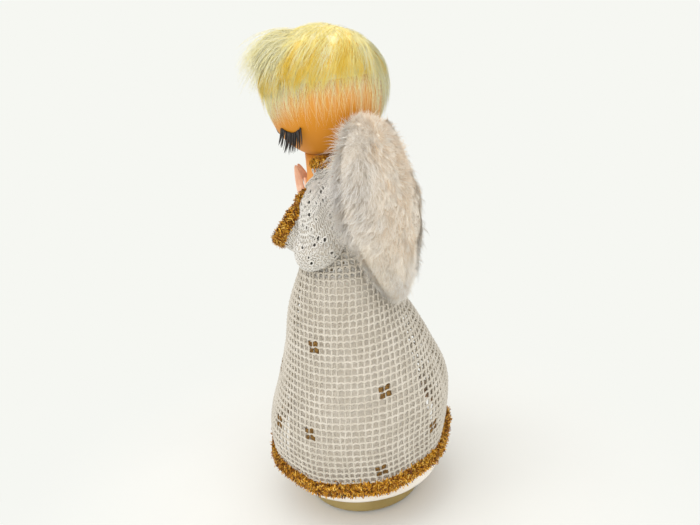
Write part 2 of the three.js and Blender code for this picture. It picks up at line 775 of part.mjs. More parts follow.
// Bust: a plug in the top of the cone, chest and neck, with a hollow seat for the head
const neckZ = coneTop + NECK_RISE;
const headZ = coneTop + HEAD_RISE;
const smooth = (z) => THREE.MathUtils.smoothstep(z, coneTop, neckZ);
const leanY = (z) => LEAN * smooth(z);
function leaning(geometry) {
  const at = geometry.getAttribute("position");
  for (let i = 0; i < at.count; i++) at.setY(i, at.getY(i) + leanY(at.getZ(i)));
  return geometry;
}
const bustZ = coneTop + SEAT;
const plugR = CONE_TOP_R - CARD_T - CLOTH_GAP;
const chestAt = (s) => CHEST_R + (NECK_R - CHEST_R) * THREE.MathUtils.smoothstep(s, 0.35, 1);
const headBall = (gap) => ball(HEAD_R + gap, 26, 16).translate(0, HEAD_Y, headZ);
const dowelZ = headZ - HEAD_R - DOWEL_L / 2 + 6;
const dowelHole = (gap) =>
  rod(DOWEL_R + gap, dowelZ - gap, dowelZ + DOWEL_L + gap, 16).translate(0, LEAN, 0);
place(
  figure,
  "bust",
  cut(
    leaning(
      turned(
        [
          [0, bustZ - BUST_PLUG_L],
          [plugR - 1, bustZ - BUST_PLUG_L],
          [plugR, bustZ - BUST_PLUG_L + 2],
          [plugR, bustZ],
          ...steps(6).map((s) => [chestAt(s), bustZ + s * (neckZ - bustZ)]),
          [NECK_R, headZ - HEAD_R + 8],
          [0, headZ - HEAD_R + 8],
        ],
        24,
      ),
    ),
    headBall(CLOTH_GAP),
    dowelHole(SEAT),
  ),
  SKIN,
);
place(figure, "neck_dowel", dowelHole(0), WOOD);
place(figure, "head", cut(ball(HEAD_R, 24, 14).translate(0, HEAD_Y, headZ), dowelHole(SEAT)), SKIN);

// Eyelashes: a band along each closed lid with a fan of tapering lashes
const onHead = (azimuth, drop, r) => {
  const a = THREE.MathUtils.degToRad(azimuth);
  const d = THREE.MathUtils.degToRad(drop);
  return polar(a, r * Math.cos(d), -r * Math.sin(d)).add(new THREE.Vector3(0, HEAD_Y, headZ));
};
const lidAt = (u, r) => onHead(EYE_AZIMUTH + EYE_HALF_WIDTH * u, EYE_DROP - 5 * u * u, r);
const lashSeat = HEAD_R + CLOTH_GAP + LASH_R;
const needleRing = (middle, r) =>
  around(4).map((a) => new THREE.Vector3(r * Math.sin(a), 0, r * Math.cos(a)).add(middle));
const lidBand = loft(
  steps(8).map((s) => {
    const middle = lidAt(2 * s - 1, lashSeat);
    const out = lidAt(2 * s - 1, lashSeat + 1).sub(middle);
    return around(4).map((a) => {
      const up = new THREE.Vector3(0, 0, LID_BAND_HALF_H * Math.sin(a));
      return up.add(middle).addScaledVector(out, LASH_R * Math.cos(a));
    });
  }),
);
const lashNeedles = steps(LASH_COUNT - 1).map((s) => {
  const u = 1.8 * (s - 0.5);
  const root = lidAt(u, lashSeat);
  const out = lidAt(u, lashSeat + 1).sub(root);
  const reach = LASH_L * (1 - 0.25 * u * u);
  const curl = (t) =>
    root
      .clone()
      .addScaledVector(out, reach * (0.62 * t - 0.1 * t * t))
      .add(new THREE.Vector3(0, 0, reach * (-0.35 * t - 0.35 * t * t)));
  return loft([0, 0.4, 1].map((t) => needleRing(curl(t), LASH_R * (1 - 0.75 * t))));
});
const lashStrip = join(lidBand, ...lashNeedles);
// Turns what is drawn on a head that looks ahead to the side that the face looks to.
const withHead = (geometry) =>
  geometry
    .translate(0, -HEAD_Y, 0)
    .rotateZ(THREE.MathUtils.degToRad(HEAD_TURN))
    .translate(0, HEAD_Y, 0);
place(figure, "lash_left", withHead(lashStrip.clone()), LASH_BLACK);
place(figure, "lash_right", withHead(mirrored(lashStrip)), LASH_BLACK);

// Wig: a cap over the crown of the head, lower at the back, with a fringe that stands forward
const wigPlane = Math.atan2(WIG_FRONT_RISE + WIG_BACK_DROP, 2 * HEAD_R);
const belowWig = box(-60, 60, -60, 60, -80, 0);
belowWig.rotateX(-wigPlane).translate(0, HEAD_Y, headZ + (WIG_FRONT_RISE - WIG_BACK_DROP) / 2);
const fringe = new THREE.SphereGeometry(1, 16, 8).scale(FRINGE_HALF_WIDTH, FRINGE_REACH / 2, FRINGE_HALF_H);
fringe.translate(0, HEAD_Y - FRINGE_REACH / 2, headZ + FRINGE_RISE);
const wigOuter = ball(HEAD_R + WIG_T, 24, 14).translate(0, HEAD_Y, headZ);
const wig = cut(join(cut(wigOuter, belowWig), fringe), headBall(CLOTH_GAP));
place(figure, "wig", withHead(wig), BLOND_FUR);

// Hands: mittens with a thumb, pressed together at the finger tips
const ovalRing = (x, y, halfW, halfT) =>
  around(12).map((a) => new THREE.Vector3(x + halfW * Math.cos(a), y, halfT * Math.sin(a)));
// Share of the hand's length from the wrist, of its half width and of its half thickness.
const palm = [
  [0, 0.62, 0.9],
  [0.22, 0.78, 1],
  [0.45, 1, 1],
  [0.62, 0.9, 0.95],
  [0.84, 0.66, 0.8],
  [0.96, 0.34, 0.5],
  [1, 0.12, 0.2],
];
const thumb = [
  [0.3, 0.4, 0.5],
  [0.85, 0.5, 0.32],
  [1.05, 0.58, 0.28],
  [1.0, 0.67, 0.12],
];
const handSolid = join(
  loft(palm.map(([y, w, t]) => ovalRing(0, y * HAND_L, (w * HAND_W) / 2, (t * HAND_T) / 2))),
  loft(thumb.map(([x, y, w]) => ovalRing((x * HAND_W) / 2, y * HAND_L, (w * HAND_W) / 2, w * HAND_T))),
).translate(0, -HAND_L, 0);
const tiltedHand = alongX(handSolid, HAND_TIP_GAP + HAND_T / 2);
tiltedHand.rotateX(THREE.MathUtils.degToRad(HAND_TILT)).rotateY(-THREE.MathUtils.degToRad(HAND_SPREAD));
tiltedHand.translate(0, HAND_TIP_Y, coneTop + HAND_TIP_RISE);
const handLeft = facingOut(tiltedHand);
place(figure, "hand_left", handLeft, HAND_SKIN);
place(figure, "hand_right", mirrored(handLeft), HAND_SKIN);

// Bodice: a lace shell over the cone's top and the bust, open in a wide V at the front
const bodiceTop = coneTop + BODICE_TOP_RISE;
const skinR = (z) => (z < coneTop ? coneR(z) : Math.max(chestAt((z - bustZ) / (neckZ - bustZ)), NECK_R));
const bodiceFootZ = coneTop - BODICE_FOOT_DROP;
const bodiceHeights = [bodiceFootZ, ...steps(5).map((s) => coneTop + s * BODICE_TOP_RISE)];
const bodiceR = (z) => skinR(z) + CLOTH_GAP + CLOTH_T;
// The dressed body with a gap all round it, from inside the skirt up to the neck.
function dressedBody(gap) {
  const heights = [bodiceFootZ - 40, ...bodiceHeights];
  const outline = heights.map((z) => [bodiceR(z) + gap, z]);
  return leaning(turned([[0, heights[0]], ...outline, [0, bodiceTop]], 36));
}
const bodyKeepOut = dressedBody(CLOTH_GAP);
const bodiceShell = leaning(
  turned(
    [
      ...bodiceHeights.map((z) => [bodiceR(z), z]),
      ...[...bodiceHeights].reverse().map((z) => [bodiceR(z) - CLOTH_T, z]),
      [bodiceR(bodiceFootZ), bodiceFootZ],
    ],
    28,
  ),
);
const neckline = new THREE.Shape();
neckline.moveTo(0, bodiceTop - NECKLINE_DEPTH);
neckline.lineTo(NECKLINE_HALF_W, bodiceTop - 2);
neckline.lineTo(NECKLINE_HALF_W, bodiceTop + 5);
neckline.lineTo(-NECKLINE_HALF_W, bodiceTop + 5);
neckline.lineTo(-NECKLINE_HALF_W, bodiceTop - 2);
neckline.closePath();
const frontOpening = prism(neckline, 40).rotateX(Math.PI / 2).translate(0, LEAN, 0);
place(figure, "bodice", cut(bodiceShell, frontOpening), LACE_CLOTH);

// Neckline trim: a tinsel cord round the back and sides of the neck
const collarGap = bodiceR(bodiceTop) + COLLAR_R + CLOTH_GAP;
const collarPath = new THREE.CatmullRomCurve3(
  [-58, -100, -140, 180, 140, 100, 58].map((a) => {
    const at = polar(THREE.MathUtils.degToRad(a), collarGap, bodiceTop + COLLAR_R + SEAT);
    return at.add(new THREE.Vector3(0, LEAN, 0));
  }),
);
function cord(path, r, n, sides) {
  const shape = new THREE.Shape().absarc(0, 0, r, 0, 2 * Math.PI);
  const settings = { steps: n, curveSegments: sides, extrudePath: path, bevelEnabled: false };
  return new THREE.ExtrudeGeometry(shape, settings);
}
place(figure, "collar_trim", cord(collarPath, COLLAR_R, 22, 4), TINSEL);

// Sleeves: flat bells beside the body, open at the slanting cuffs
const innerRail = rail(SLEEVE_INNER);
const outerRail = rail(SLEEVE_OUTER);
const sleeveT = (t) =>
  SLEEVE_SHOULDER_T * (1 - t) * (1 - t) + SLEEVE_ELBOW_T * 2 * t * (1 - t) * 1.2 + SLEEVE_CUFF_T * t * t;
// How far from the middle plane the sleeve lies at y, z: over the bodice, or past the front of it.
function besideBody(y, z) {
  const r = bodiceR(Math.min(z, bodiceTop)) + 2 * CLOTH_GAP;
  const fromAxis = y - leanY(z);
  const onBody = Math.sqrt(Math.max(0, r * r - fromAxis * fromAxis));
  return Math.max(SLEEVE_MIDDLE_GAP, onBody);
}
// One loop around the sleeve, inset by the given depth from its outside.
function sleeveRing(t, inset) {
  const a = innerRail.getPoint(t);
  const b = outerRail.getPoint(t);
  const along = b.clone().sub(a).normalize();
  a.addScaledVector(along, inset);
  b.addScaledVector(along, -inset);
  return around(SLEEVE_SIDES).map((angle) => {
    const at = a.clone().lerp(b, (1 - Math.cos(angle)) / 2);
    const y = at.x;
    const z = at.y + coneTop;
    const bulge = (sleeveT(t) - 2 * inset) * Math.max(0, Math.sin(angle));
    return new THREE.Vector3(besideBody(y, z) + inset + bulge, y, z);
  });
}
const sleeveHollowFrom = 3; // station where the lining starts
const stations = steps(SLEEVE_STATIONS);
const sleeveHollow = stations.slice(sleeveHollowFrom).map((t) => sleeveRing(t, CLOTH_T));
const sleeveOutside = stations.map((t) => sleeveRing(t, 0));
const sleeve = cut(loft([...sleeveOutside, ...sleeveHollow.reverse()]), bodyKeepOut);
place(figure, "sleeve_left", sleeve, LACE_CLOTH);
place(figure, "sleeve_right", mirrored(sleeve), LACE_CLOTH);
const cuffStations = stations.slice(-CUFF_STATIONS - 1);
const cuffInside = cuffStations.map((t) => sleeveRing(t, -CLOTH_GAP));
const cuffOutside = cuffStations.map((t) => sleeveRing(t, -CLOTH_GAP - CUFF_T));
const cuff = cut(loft([...cuffInside, ...cuffOutside.reverse()], true), bodyKeepOut);
place(figure, "cuff_trim_left", cuff, TINSEL);
place(figure, "cuff_trim_right", mirrored(cuff), TINSEL);

// Arm wires: sewn in the shoulder of each sleeve, reaching to the wrist
function insideSleeve(t) {
  const sum = sleeveRing(t, CLOTH_T).reduce((total, p) => total.add(p), new THREE.Vector3());
  return sum.divideScalar(SLEEVE_SIDES);
}
const shoulder = insideSleeve(0.42);
const elbow = insideSleeve(0.78);
const wrist = new THREE.Vector3(HAND_TIP_GAP + HAND_T / 2, 0, 0);
wrist.addScaledVector(new THREE.Vector3(0, 0, -1), HAND_L + ARM_R + CLOTH_GAP);
wrist.applyAxisAngle(new THREE.Vector3(1, 0, 0), THREE.MathUtils.degToRad(HAND_TILT));
wrist.applyAxisAngle(new THREE.Vector3(0, 1, 0), -THREE.MathUtils.degToRad(HAND_SPREAD));
wrist.add(new THREE.Vector3(0, HAND_TIP_Y, coneTop + HAND_TIP_RISE));
const armLeft = facingOut(cord(new THREE.CatmullRomCurve3([shoulder, elbow, wrist]), ARM_R, 8, 3));
place(figure, "arm_left", armLeft, STEEL);
place(figure, "arm_right", mirrored(armLeft), STEEL);

// Underskirt: white cloth over the cone
const underTop = bodiceFootZ - 1;
const underR = (z) => coneR(z) + CLOTH_GAP + CLOTH_T;
place(
  figure,
  "underskirt",
  turned(
    [
      [underR(HEM_WHITE_Z) - CLOTH_T, HEM_WHITE_Z],
      [underR(HEM_WHITE_Z), HEM_WHITE_Z],
      [underR(underTop), underTop],
      [underR(underTop) - CLOTH_T, underTop],
      [underR(HEM_WHITE_Z) - CLOTH_T, HEM_WHITE_Z],
    ],
    48,
  ),
  WHITE_CLOTH,
);

// Net overskirt: straighter in front, a dome behind, with a hem that hangs lower on the left
const waistZ = coneTop - WAIST_DROP;
const waistR = bodiceR(waistZ) + CLOTH_GAP + NET_T;
const netFront = rail([
  [0, waistR],
  [0.05, waistR + 1.6],
  ...NET_FRONT,
]);
const netBack = rail([
  [0, waistR],
  [0.06, waistR + 1.7],
  [0.14, waistR + 3.6],
  ...NET_BACK,
]);
const netHemZ = (angle) =>
  NET_HEM_Z - NET_HEM_LIFT_BACK * Math.cos(angle) - NET_HEM_DROP_LEFT * Math.sin(angle);
function netPoint(angle, q, inset) {
  const back = (1 - Math.cos(angle)) / 2;
  const front = netFront.getPoint(q);
  const rear = netBack.getPoint(q);
  const share = front.clone().lerp(rear, back);
  const fold = NET_FOLD_DEPTH * q * q * Math.cos(NET_FOLDS * angle);
  const z = waistZ + (netHemZ(angle) - waistZ) * share.x;
  return polar(angle, share.y + fold - inset, z);
}
const netRings = (inset) =>
  steps(NET_ROWS).map((q) => around(NET_COLUMNS).map((a) => netPoint(a, q, inset)));
place(figure, "net_skirt", loft([...netRings(0), ...netRings(NET_T).reverse()], true), NET_CLOTH);

// Hem trim: a band of tinsel round the outside of the hem
const hemLoops = [
  [0, -0.5],
  [0.7, -0.55],
  [1, -0.2],
  [1, 0.25],
  [0.7, 0.5],
  [0, 0.5],
];
const hemTrim = loft(
  hemLoops.map(([out, up]) =>
    around(NET_COLUMNS).map((a) => {
      const edge = netPoint(a, 1, 0);
      const r = Math.hypot(edge.x, edge.y) + 2 * CLOTH_GAP + out * TRIM_T;
      return polar(a, r, edge.z + up * TRIM_W);
    }),
  ),
  true,
);
place(figure, "hem_trim", hemTrim, TINSEL);

// Wings: two padded fur lobes behind the shoulders
const wingOutline = new THREE.SplineCurve(
  [
    [WING_INNER_X, -WING_DROP + 11],
    [0.11 * WING_HALF_SPAN, -WING_DROP + 3.5],
    [0.29 * WING_HALF_SPAN, -WING_DROP],
    [0.67 * WING_HALF_SPAN, -0.5 * WING_DROP],
    [0.96 * WING_HALF_SPAN, 0],
    [WING_HALF_SPAN, 0.48 * WING_RISE],
    [0.82 * WING_HALF_SPAN, WING_RISE - 6],
    [0.58 * WING_HALF_SPAN, WING_RISE],
    [0.31 * WING_HALF_SPAN, WING_RISE - 2],
    [0.11 * WING_HALF_SPAN, WING_RISE - 11],
    [WING_INNER_X, WING_RISE - 21],
  ].map(([x, z]) => new THREE.Vector2(x, z)),
);
const wingMiddle = new THREE.Vector2(0.5 * WING_HALF_SPAN, (WING_RISE - WING_DROP) / 2);
// Share of the outline and of the half thickness, from the front of the lobe to its back.
const wingCrown = [
  [0.5, 1],
  [0.85, 0.82],
  [1, 0.3],
  [1, -0.3],
  [0.85, -0.82],
  [0.5, -1],
];
const wingLobe = loft(
  wingCrown.map(([share, depth]) =>
    wingOutline.getPoints(30).map((p) => {
      const at = wingMiddle.clone().lerp(p, share);
      return new THREE.Vector3(at.x, at.y, (depth * WING_T) / 2);
    }),
  ),
);
// Stands a piece drawn in x and height over the cone's top behind the shoulders, leaning and swept forward.
function behindShoulders(geometry, sweep) {
  geometry.rotateX(Math.PI / 2);
  geometry.rotateX(THREE.MathUtils.degToRad(WING_LEAN)).rotateZ(THREE.MathUtils.degToRad(-sweep));
  return geometry.translate(0, WING_Y, coneTop);
}
const clearOfHead = ball(HEAD_R + WIG_T + CLOTH_GAP, 32, 20).translate(0, HEAD_Y, headZ);
const clearOfNet = loft(netRings(-CLOTH_GAP));
const wingSide = WING_WEB_HALF_T + CLOTH_GAP;
const clearOfWeb = box(-WING_HALF_SPAN, wingSide, 0, 2 * WING_HALF_SPAN, 0, coneTop + 2 * WING_RISE);
const wingTools = [clearOfHead, bodyKeepOut, clearOfNet];
const wing = behindShoulders(wingLobe, WING_SWEEP);
place(figure, "wing_left", cut(wing, ...wingTools, clearOfWeb), WHITE_FUR);
place(figure, "wing_right", cut(mirrored(wing), ...wingTools, mirrored(clearOfWeb)), WHITE_FUR);

// Wing card: a patch on the back of the bodice with a web between the two wings
const cardZ = coneTop - WING_CARD_H / 2;
const patchArea = box(-WING_CARD_W / 2, WING_CARD_W / 2, 0, 60, cardZ, cardZ + WING_CARD_H);
const patch = common(dressedBody(CLOTH_GAP + WING_CARD_T), patchArea);
const webRise = WING_CARD_H / 2 - 3;
const webDrawn = box(-WING_WEB_HALF_T, WING_WEB_HALF_T, -webRise, webRise, -3, WING_Y);
const web = behindShoulders(webDrawn, 0);
place(figure, "wing_card", cut(join(patch, web), bodyKeepOut), CARD);

export default object;
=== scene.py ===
# Musical angel figurine: a doll in a net skirt with fur wings, on a foot that winds it up.
# The file follows the doll from its foot up, and ends with the studio that it is shown in.
# Sizes are in millimetres; the figure faces -Y and its left side is +X.
import math

import bpy
import numpy as np
from mathutils import Matrix


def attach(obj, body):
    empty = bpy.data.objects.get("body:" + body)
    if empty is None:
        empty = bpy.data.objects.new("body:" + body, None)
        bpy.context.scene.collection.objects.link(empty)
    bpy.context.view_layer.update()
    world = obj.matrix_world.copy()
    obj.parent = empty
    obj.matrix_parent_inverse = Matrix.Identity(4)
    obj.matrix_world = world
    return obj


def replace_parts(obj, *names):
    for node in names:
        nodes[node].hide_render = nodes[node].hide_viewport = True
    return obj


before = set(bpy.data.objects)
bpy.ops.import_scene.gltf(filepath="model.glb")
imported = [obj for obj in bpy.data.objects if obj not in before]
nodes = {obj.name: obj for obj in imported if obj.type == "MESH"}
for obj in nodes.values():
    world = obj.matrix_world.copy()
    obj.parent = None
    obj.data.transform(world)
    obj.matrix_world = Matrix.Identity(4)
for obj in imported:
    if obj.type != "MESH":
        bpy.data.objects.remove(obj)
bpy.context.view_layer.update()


# Foot
# A round moulded cup of yellowed ivory plastic, gripped and twisted to wind the movement.
# A disc of wool felt is glued under it, and its hub is pressed on the winding arbor.
MM = 0.001
FELT_T = 1.0
FOOT_R = 29.4
FOOT_H = 12.3
FOOT_WALL = 2.2
FOOT_HUB_R = 7.0
FOOT_HUB_RISE = 1.0
FOOT_EDGE_R = 1.3
FOOT_CHAMFER = 0.7
FOOT_CHAMFER_H = 1.6
FOOT_SIDES = 160
SEAT = 0.15
ARBOR_HOLE_R = 2.25
ARBOR_HOLE_Z = 3.0


class Field:
    """A value at each point of a finish; + - * on it add Math nodes."""

    def __init__(self, finish, socket):
        self.finish = finish
        self.socket = socket

    def maths(self, operation, other):
        return self.finish.node("Math", {"operation": operation}, {0: self, 1: other})

    def __add__(self, other):
        return self.maths("ADD", other)

    def __sub__(self, other):
        return self.maths("SUBTRACT", other)

    def __mul__(self, other):
        return self.maths("MULTIPLY", other)

    __radd__ = __add__
    __rmul__ = __mul__


class Finish:
    """A material: its shader's plain values by name, and fields that feed its sockets."""

    def __init__(self, name, **plain):
        self.material = bpy.data.materials.new(name)
        self.material.use_nodes = True
        self.tree = self.material.node_tree
        self.shader = self.tree.nodes["Principled BSDF"]
        self.drive(**plain)

    def node(self, kind, settings=None, inputs=None, output=0):
        made = self.tree.nodes.new("ShaderNode" + kind)
        for key, value in (settings or {}).items():
            setattr(made, key, value)
        for key, value in (inputs or {}).items():
            self.feed(made.inputs[key], value)
        return Field(self, made.outputs[output])

    def feed(self, socket, value):
        if isinstance(value, Field):
            self.tree.links.new(value.socket, socket)
        else:
            socket.default_value = value

    def drive(self, **fields):
        for key, field in fields.items():
            self.feed(self.shader.inputs[key.replace("_", " ")], field)

    def place(self):
        return self.node("TexCoord", output="Object")

    def value(self, name):
        return self.node("Attribute", {"attribute_name": name}, output="Fac")

    def noise(self, scale, detail=3.0, vector=None):
        inputs = {"Vector": vector or self.place(), "Scale": scale, "Detail": detail}
        return self.node("TexNoise", inputs=inputs)

    def ramp(self, factor, *stops):
        made = self.node("ValToRGB", inputs={0: factor})
        marks = made.socket.node.color_ramp.elements
        for stop in stops[1:-1]:
            marks.new(stop[0])
        for mark, (position, colour) in zip(marks, stops):
            mark.position = position
            mark.color = (*tone(*colour), 1)
        return made

    def by_tint(self, *stops):
        return self.ramp(self.value("tint"), *stops)

    def shades(self, field, dark, light, low=0.3, high=0.7):
        self.drive(Base_Color=self.ramp(field, (low, dark), (high, light)))

    def multiply(self, factor, first, second):
        settings = {"data_type": "RGBA", "blend_type": "MULTIPLY"}
        return self.node("Mix", settings, {0: factor, 6: first, 7: second}, 2)

    def bump(self, height, depth, strength=1.0):
        inputs = {"Height": height, "Distance": depth * MM, "Strength": strength}
        self.drive(Normal=self.node("Bump", inputs=inputs))


def tone(red, green, blue):
    """The linear colour of an sRGB colour from 0 to 255."""
    share = np.array([red, green, blue]) / 255
    linear = np.where(share < 0.04045, share / 12.92, ((share + 0.055) / 1.055) ** 2.4)
    return tuple(float(c) for c in linear)


def piece(name, points, face_sets, finish, slot, body="figure", smooth=True, uv=None, **values):
    """An object from points in millimetres and arrays of faces. Values are kept per point."""
    mesh = bpy.data.meshes.new(name)
    mesh.vertices.add(len(points))
    mesh.vertices.foreach_set("co", (points * MM).astype(np.float32).ravel())
    corners = np.concatenate([faces.ravel() for faces in face_sets]).astype(np.int32)
    sizes = np.concatenate([np.full(len(faces), faces.shape[1]) for faces in face_sets])
    starts = np.concatenate([[0], np.cumsum(sizes)[:-1]]).astype(np.int32)
    mesh.loops.add(len(corners))
    mesh.loops.foreach_set("vertex_index", corners)
    mesh.polygons.add(len(sizes))
    mesh.polygons.foreach_set("loop_start", starts)
    mesh.polygons.foreach_set("use_smooth", np.full(len(sizes), smooth))
    mesh.update(calc_edges=True)
    if uv is not None:
        layer = mesh.uv_layers.new(name="OFBake")
        layer.data.foreach_set("uv", uv[corners].astype(np.float32).ravel())
    for key, value in values.items():
        attribute = mesh.attributes.new(key, "FLOAT", "POINT")
        attribute.data.foreach_set("value", np.asarray(value, np.float32))
    mesh.materials.append(finish.material)
    made = bpy.data.objects.new(name, mesh)
    bpy.context.scene.collection.objects.link(made)
    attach(made, body)
    return made


def grid_faces(rows, columns, joined_rows=False, joined_columns=True):
    """Quads over points numbered row by row; joined sides run round to their start."""
    row = np.arange(rows if joined_rows else rows - 1)[:, None]
    column = np.arange(columns if joined_columns else columns - 1)[None, :]
    above = (row + 1) % rows
    right = (column + 1) % columns
    low = [row * columns + column, row * columns + right]
    high = [above * columns + right, above * columns + column]
    return np.stack(low + high, -1).reshape(-1, 4)


def angles(count):
    """Angles of a full turn, from the front over the figure's left."""
    return np.arange(count) * 2 * np.pi / count


def polar(angle, radius, height):
    """Points at an angle round the axis; 0 is the front and a quarter turn the left."""
    spread = np.broadcast_arrays(radius * np.sin(angle), -radius * np.cos(angle), height)
    return np.stack(spread, -1)


def unit(vectors):
    """Vectors brought to length one."""
    return vectors / np.maximum(np.linalg.norm(vectors, axis=-1, keepdims=True), 1e-9)


def turned(first, second, angle):
    """A pair of coordinates turned by an angle, from the first axis towards the second."""
    c = math.cos(angle)
    s = math.sin(angle)
    return first * c - second * s, first * s + second * c


def rounded(profile, radius, steps=6):
    """A profile with each corner swapped for a short curve that starts and ends radius away."""
    line = np.asarray(profile, float)
    here, before, after = line[1:-1], line[:-2], line[2:]
    reach_in = np.linalg.norm(before - here, axis=1, keepdims=True)
    reach_out = np.linalg.norm(after - here, axis=1, keepdims=True)
    start = here + (before - here) * np.minimum(radius / reach_in, 0.45)
    end = here + (after - here) * np.minimum(radius / reach_out, 0.45)
    t = np.linspace(0, 1, steps)[None, :, None]
    curves = start[:, None] * (1 - t) ** 2 + 2 * here[:, None] * t * (1 - t) + end[:, None] * t**2
    return np.concatenate([line[:1], curves.reshape(-1, 2), line[-1:]])


def pole_fans(rows, columns):
    """Triangles from the first row to the point after the grid, and from the last to the next."""
    here = np.arange(columns)
    right = (here + 1) % columns
    low = np.full(columns, rows * columns)
    last = (rows - 1) * columns
    bottom = np.stack([low, right, here], -1)
    top = np.stack([low + 1, last + here, last + right], -1)
    return [bottom, top]


def closed_grid(rows, columns):
    """Faces of rings of points that are closed at both ends by a point."""
    return [grid_faces(rows, columns), *pole_fans(rows, columns)]


def revolved(profile, sides):
    """A closed surface of revolution; the profile starts and ends on the axis."""
    profile = np.asarray(profile, float)
    inner = profile[1:-1]
    rings = polar(angles(sides)[None, :], inner[:, :1], inner[:, 1:])
    points = np.concatenate([rings.reshape(-1, 3), [[0, 0, profile[0, 1]], [0, 0, profile[-1, 1]]]])
    return points, closed_grid(len(inner), sides)


foot_z = FELT_T + SEAT
foot_top = foot_z + FOOT_H
foot_ceiling = foot_top - FOOT_WALL
foot_inner_r = FOOT_R - FOOT_WALL
hub_top = foot_top + FOOT_HUB_RISE
hole_z = foot_z + ARBOR_HOLE_Z - SEAT
foot_profile = [[0, foot_z], [FOOT_HUB_R, foot_z], [FOOT_HUB_R, foot_ceiling]]
foot_profile += [[foot_inner_r, foot_ceiling], [foot_inner_r, foot_z]]
foot_profile += [[FOOT_R - FOOT_CHAMFER, foot_z], [FOOT_R, foot_z + FOOT_CHAMFER_H], [FOOT_R, foot_top]]
foot_profile += [[FOOT_HUB_R, foot_top], [FOOT_HUB_R, hub_top], [ARBOR_HOLE_R, hub_top]]
foot_profile += [[ARBOR_HOLE_R, hole_z], [0, hole_z]]
ivory = Finish("yellowed_ivory_plastic", IOR=1.49)
ivory.shades(ivory.noise(60.0, 4.0), (140, 119, 64), (165, 145, 90), high=0.72)
ivory.drive(Roughness=0.26 + 0.22 * ivory.noise(900.0, 2.0))
ivory.bump(ivory.noise(220.0, 2.0), 0.06, 0.5)
foot_mesh = revolved(rounded(foot_profile, FOOT_EDGE_R), FOOT_SIDES)
turn_base = piece("turn_base_moulding", *foot_mesh, ivory, "ivory_plastic", body="base")
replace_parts(turn_base, "turn_base")

felt = Finish("wool_felt", Roughness=0.95, Specular_IOR_Level=0.1)
fibres = felt.noise(2600.0, 5.0)
felt.shades(fibres, (120, 112, 92), (168, 160, 138), high=0.75)
felt.bump(fibres, 0.3)


def refinish(finish, *names):
    """Gives the finish to solids of the frame whose shape is already right."""
    for name in names:
        nodes[name].material_slots[0].material = finish.material


refinish(felt, "felt_pad")


# Musical movement
# A wind-up movement on a cast zinc bedplate, screwed to the wooden floor inside the body.
# Spring barrel, brass wheels, pinned drum, steel comb and an air-fan governor with a worm.
def metal(name, dark, light, roughness, grain):
    """A metal with a fine grain that changes its colour and its gloss."""
    made = Finish(name, Metallic=1.0)
    streaks = made.noise(grain)
    made.shades(streaks, dark, light)
    made.drive(Roughness=roughness - 0.08 + 0.16 * streaks)
    made.bump(streaks, 0.02, 0.4)
    return made


steel = metal("bright_steel", (150, 150, 152), (205, 205, 204), 0.32, 900.0)
blued_steel = metal("blued_spring_steel", (52, 62, 92), (88, 98, 128), 0.3, 700.0)
brass = metal("turned_brass", (170, 130, 56), (216, 178, 96), 0.3, 800.0)
zinc = metal("cast_zinc", (128, 128, 126), (168, 168, 165), 0.55, 500.0)
nylon = Finish("natural_nylon", Roughness=0.5)
nylon_cloud = nylon.noise(500.0)
nylon.shades(nylon_cloud, (220, 214, 200), (238, 234, 222))
nylon.bump(nylon_cloud, 0.03, 0.4)
refinish(steel, "winding_arbor", "arbor_clip", "spring_barrel", "cylinder_arbor", "comb")
refinish(steel, "comb_screw_1", "comb_screw_2", "governor_bracket", "governor_arbor")
refinish(steel, "governor_worm", "movement_screw_1", "movement_screw_2", "movement_screw_3")
refinish(blued_steel, "mainspring")
refinish(brass, "crown_wheel", "cylinder_pinion", "pinned_cylinder", "cylinder_wheel")
refinish(brass, "governor_pinion")
refinish(zinc, "bedplate")
refinish(nylon, "governor_worm_wheel", "governor_fan")


# Body cone
# A cone of rolled grey-brown card, glued round a pine floor that carries the movement.
# The bust is plugged into its top, a pine dowel joins the head, and a card holds the wings.
FLOOR_Z = 14.85
CONE_FOOT_R = 39.06
CONE_TOP_R = 13.3
CONE_H = 135.1
CONE_TOP_Z = FLOOR_Z + CONE_H


def cone_r(z):
    """Radius of the card cone at a height."""
    return CONE_FOOT_R - (CONE_FOOT_R - CONE_TOP_R) * (z - FLOOR_Z) / CONE_H


card = Finish("rolled_card", Roughness=0.9)
card_fibre = card.noise(700.0, 5.0)
card.shades(card_fibre, (160, 136, 100), (196, 172, 134))
card.bump(card_fibre, 0.08, 0.6)
pine = Finish("plain_pine", Roughness=0.65)
stretched = pine.node("Mapping", inputs={0: pine.place(), "Scale": (1.0, 1.0, 0.08)})
pine_grain = pine.noise(420.0, 4.0, stretched)
pine.shades(pine_grain, (168, 122, 74), (206, 166, 114), low=0.35, high=0.65)
pine.bump(pine_grain, 0.05, 0.5)
refinish(card, "body_cone", "wing_card")
refinish(pine, "body_floor", "neck_dowel")


# Underskirt
# White taffeta stretched over the cone, seamed at the back and turned in at the hem.
# It is what shows through the holes of the net, and as a white band below the tinsel.
HEM_WHITE_Z = 15.1
UNDER_TOP_Z = 123.0
UNDER_OUT = 1.15
UNDER_T = 0.5
UNDER_CLEAR = 0.1
UNDER_TUCK_Z = 119.5
UNDER_TUCK = 0.65
UNDER_TUCK_H = 1.2
UNDER_TURN = 0.55
UNDER_TURN_H = 0.8
UNDER_FOLDS = 11
UNDER_FOLD = 0.05
UNDER_ROWS = 70
UNDER_COLUMNS = 180

taffeta = Finish("white_taffeta", Roughness=0.62, Sheen_Weight=0.25)
slub = taffeta.noise(45.0)
taffeta.shades(slub, (228, 219, 205), (242, 236, 226), high=0.75)
taffeta.bump(taffeta.noise(1900.0, 2.0) + slub * 0.6, 0.12, 0.6)

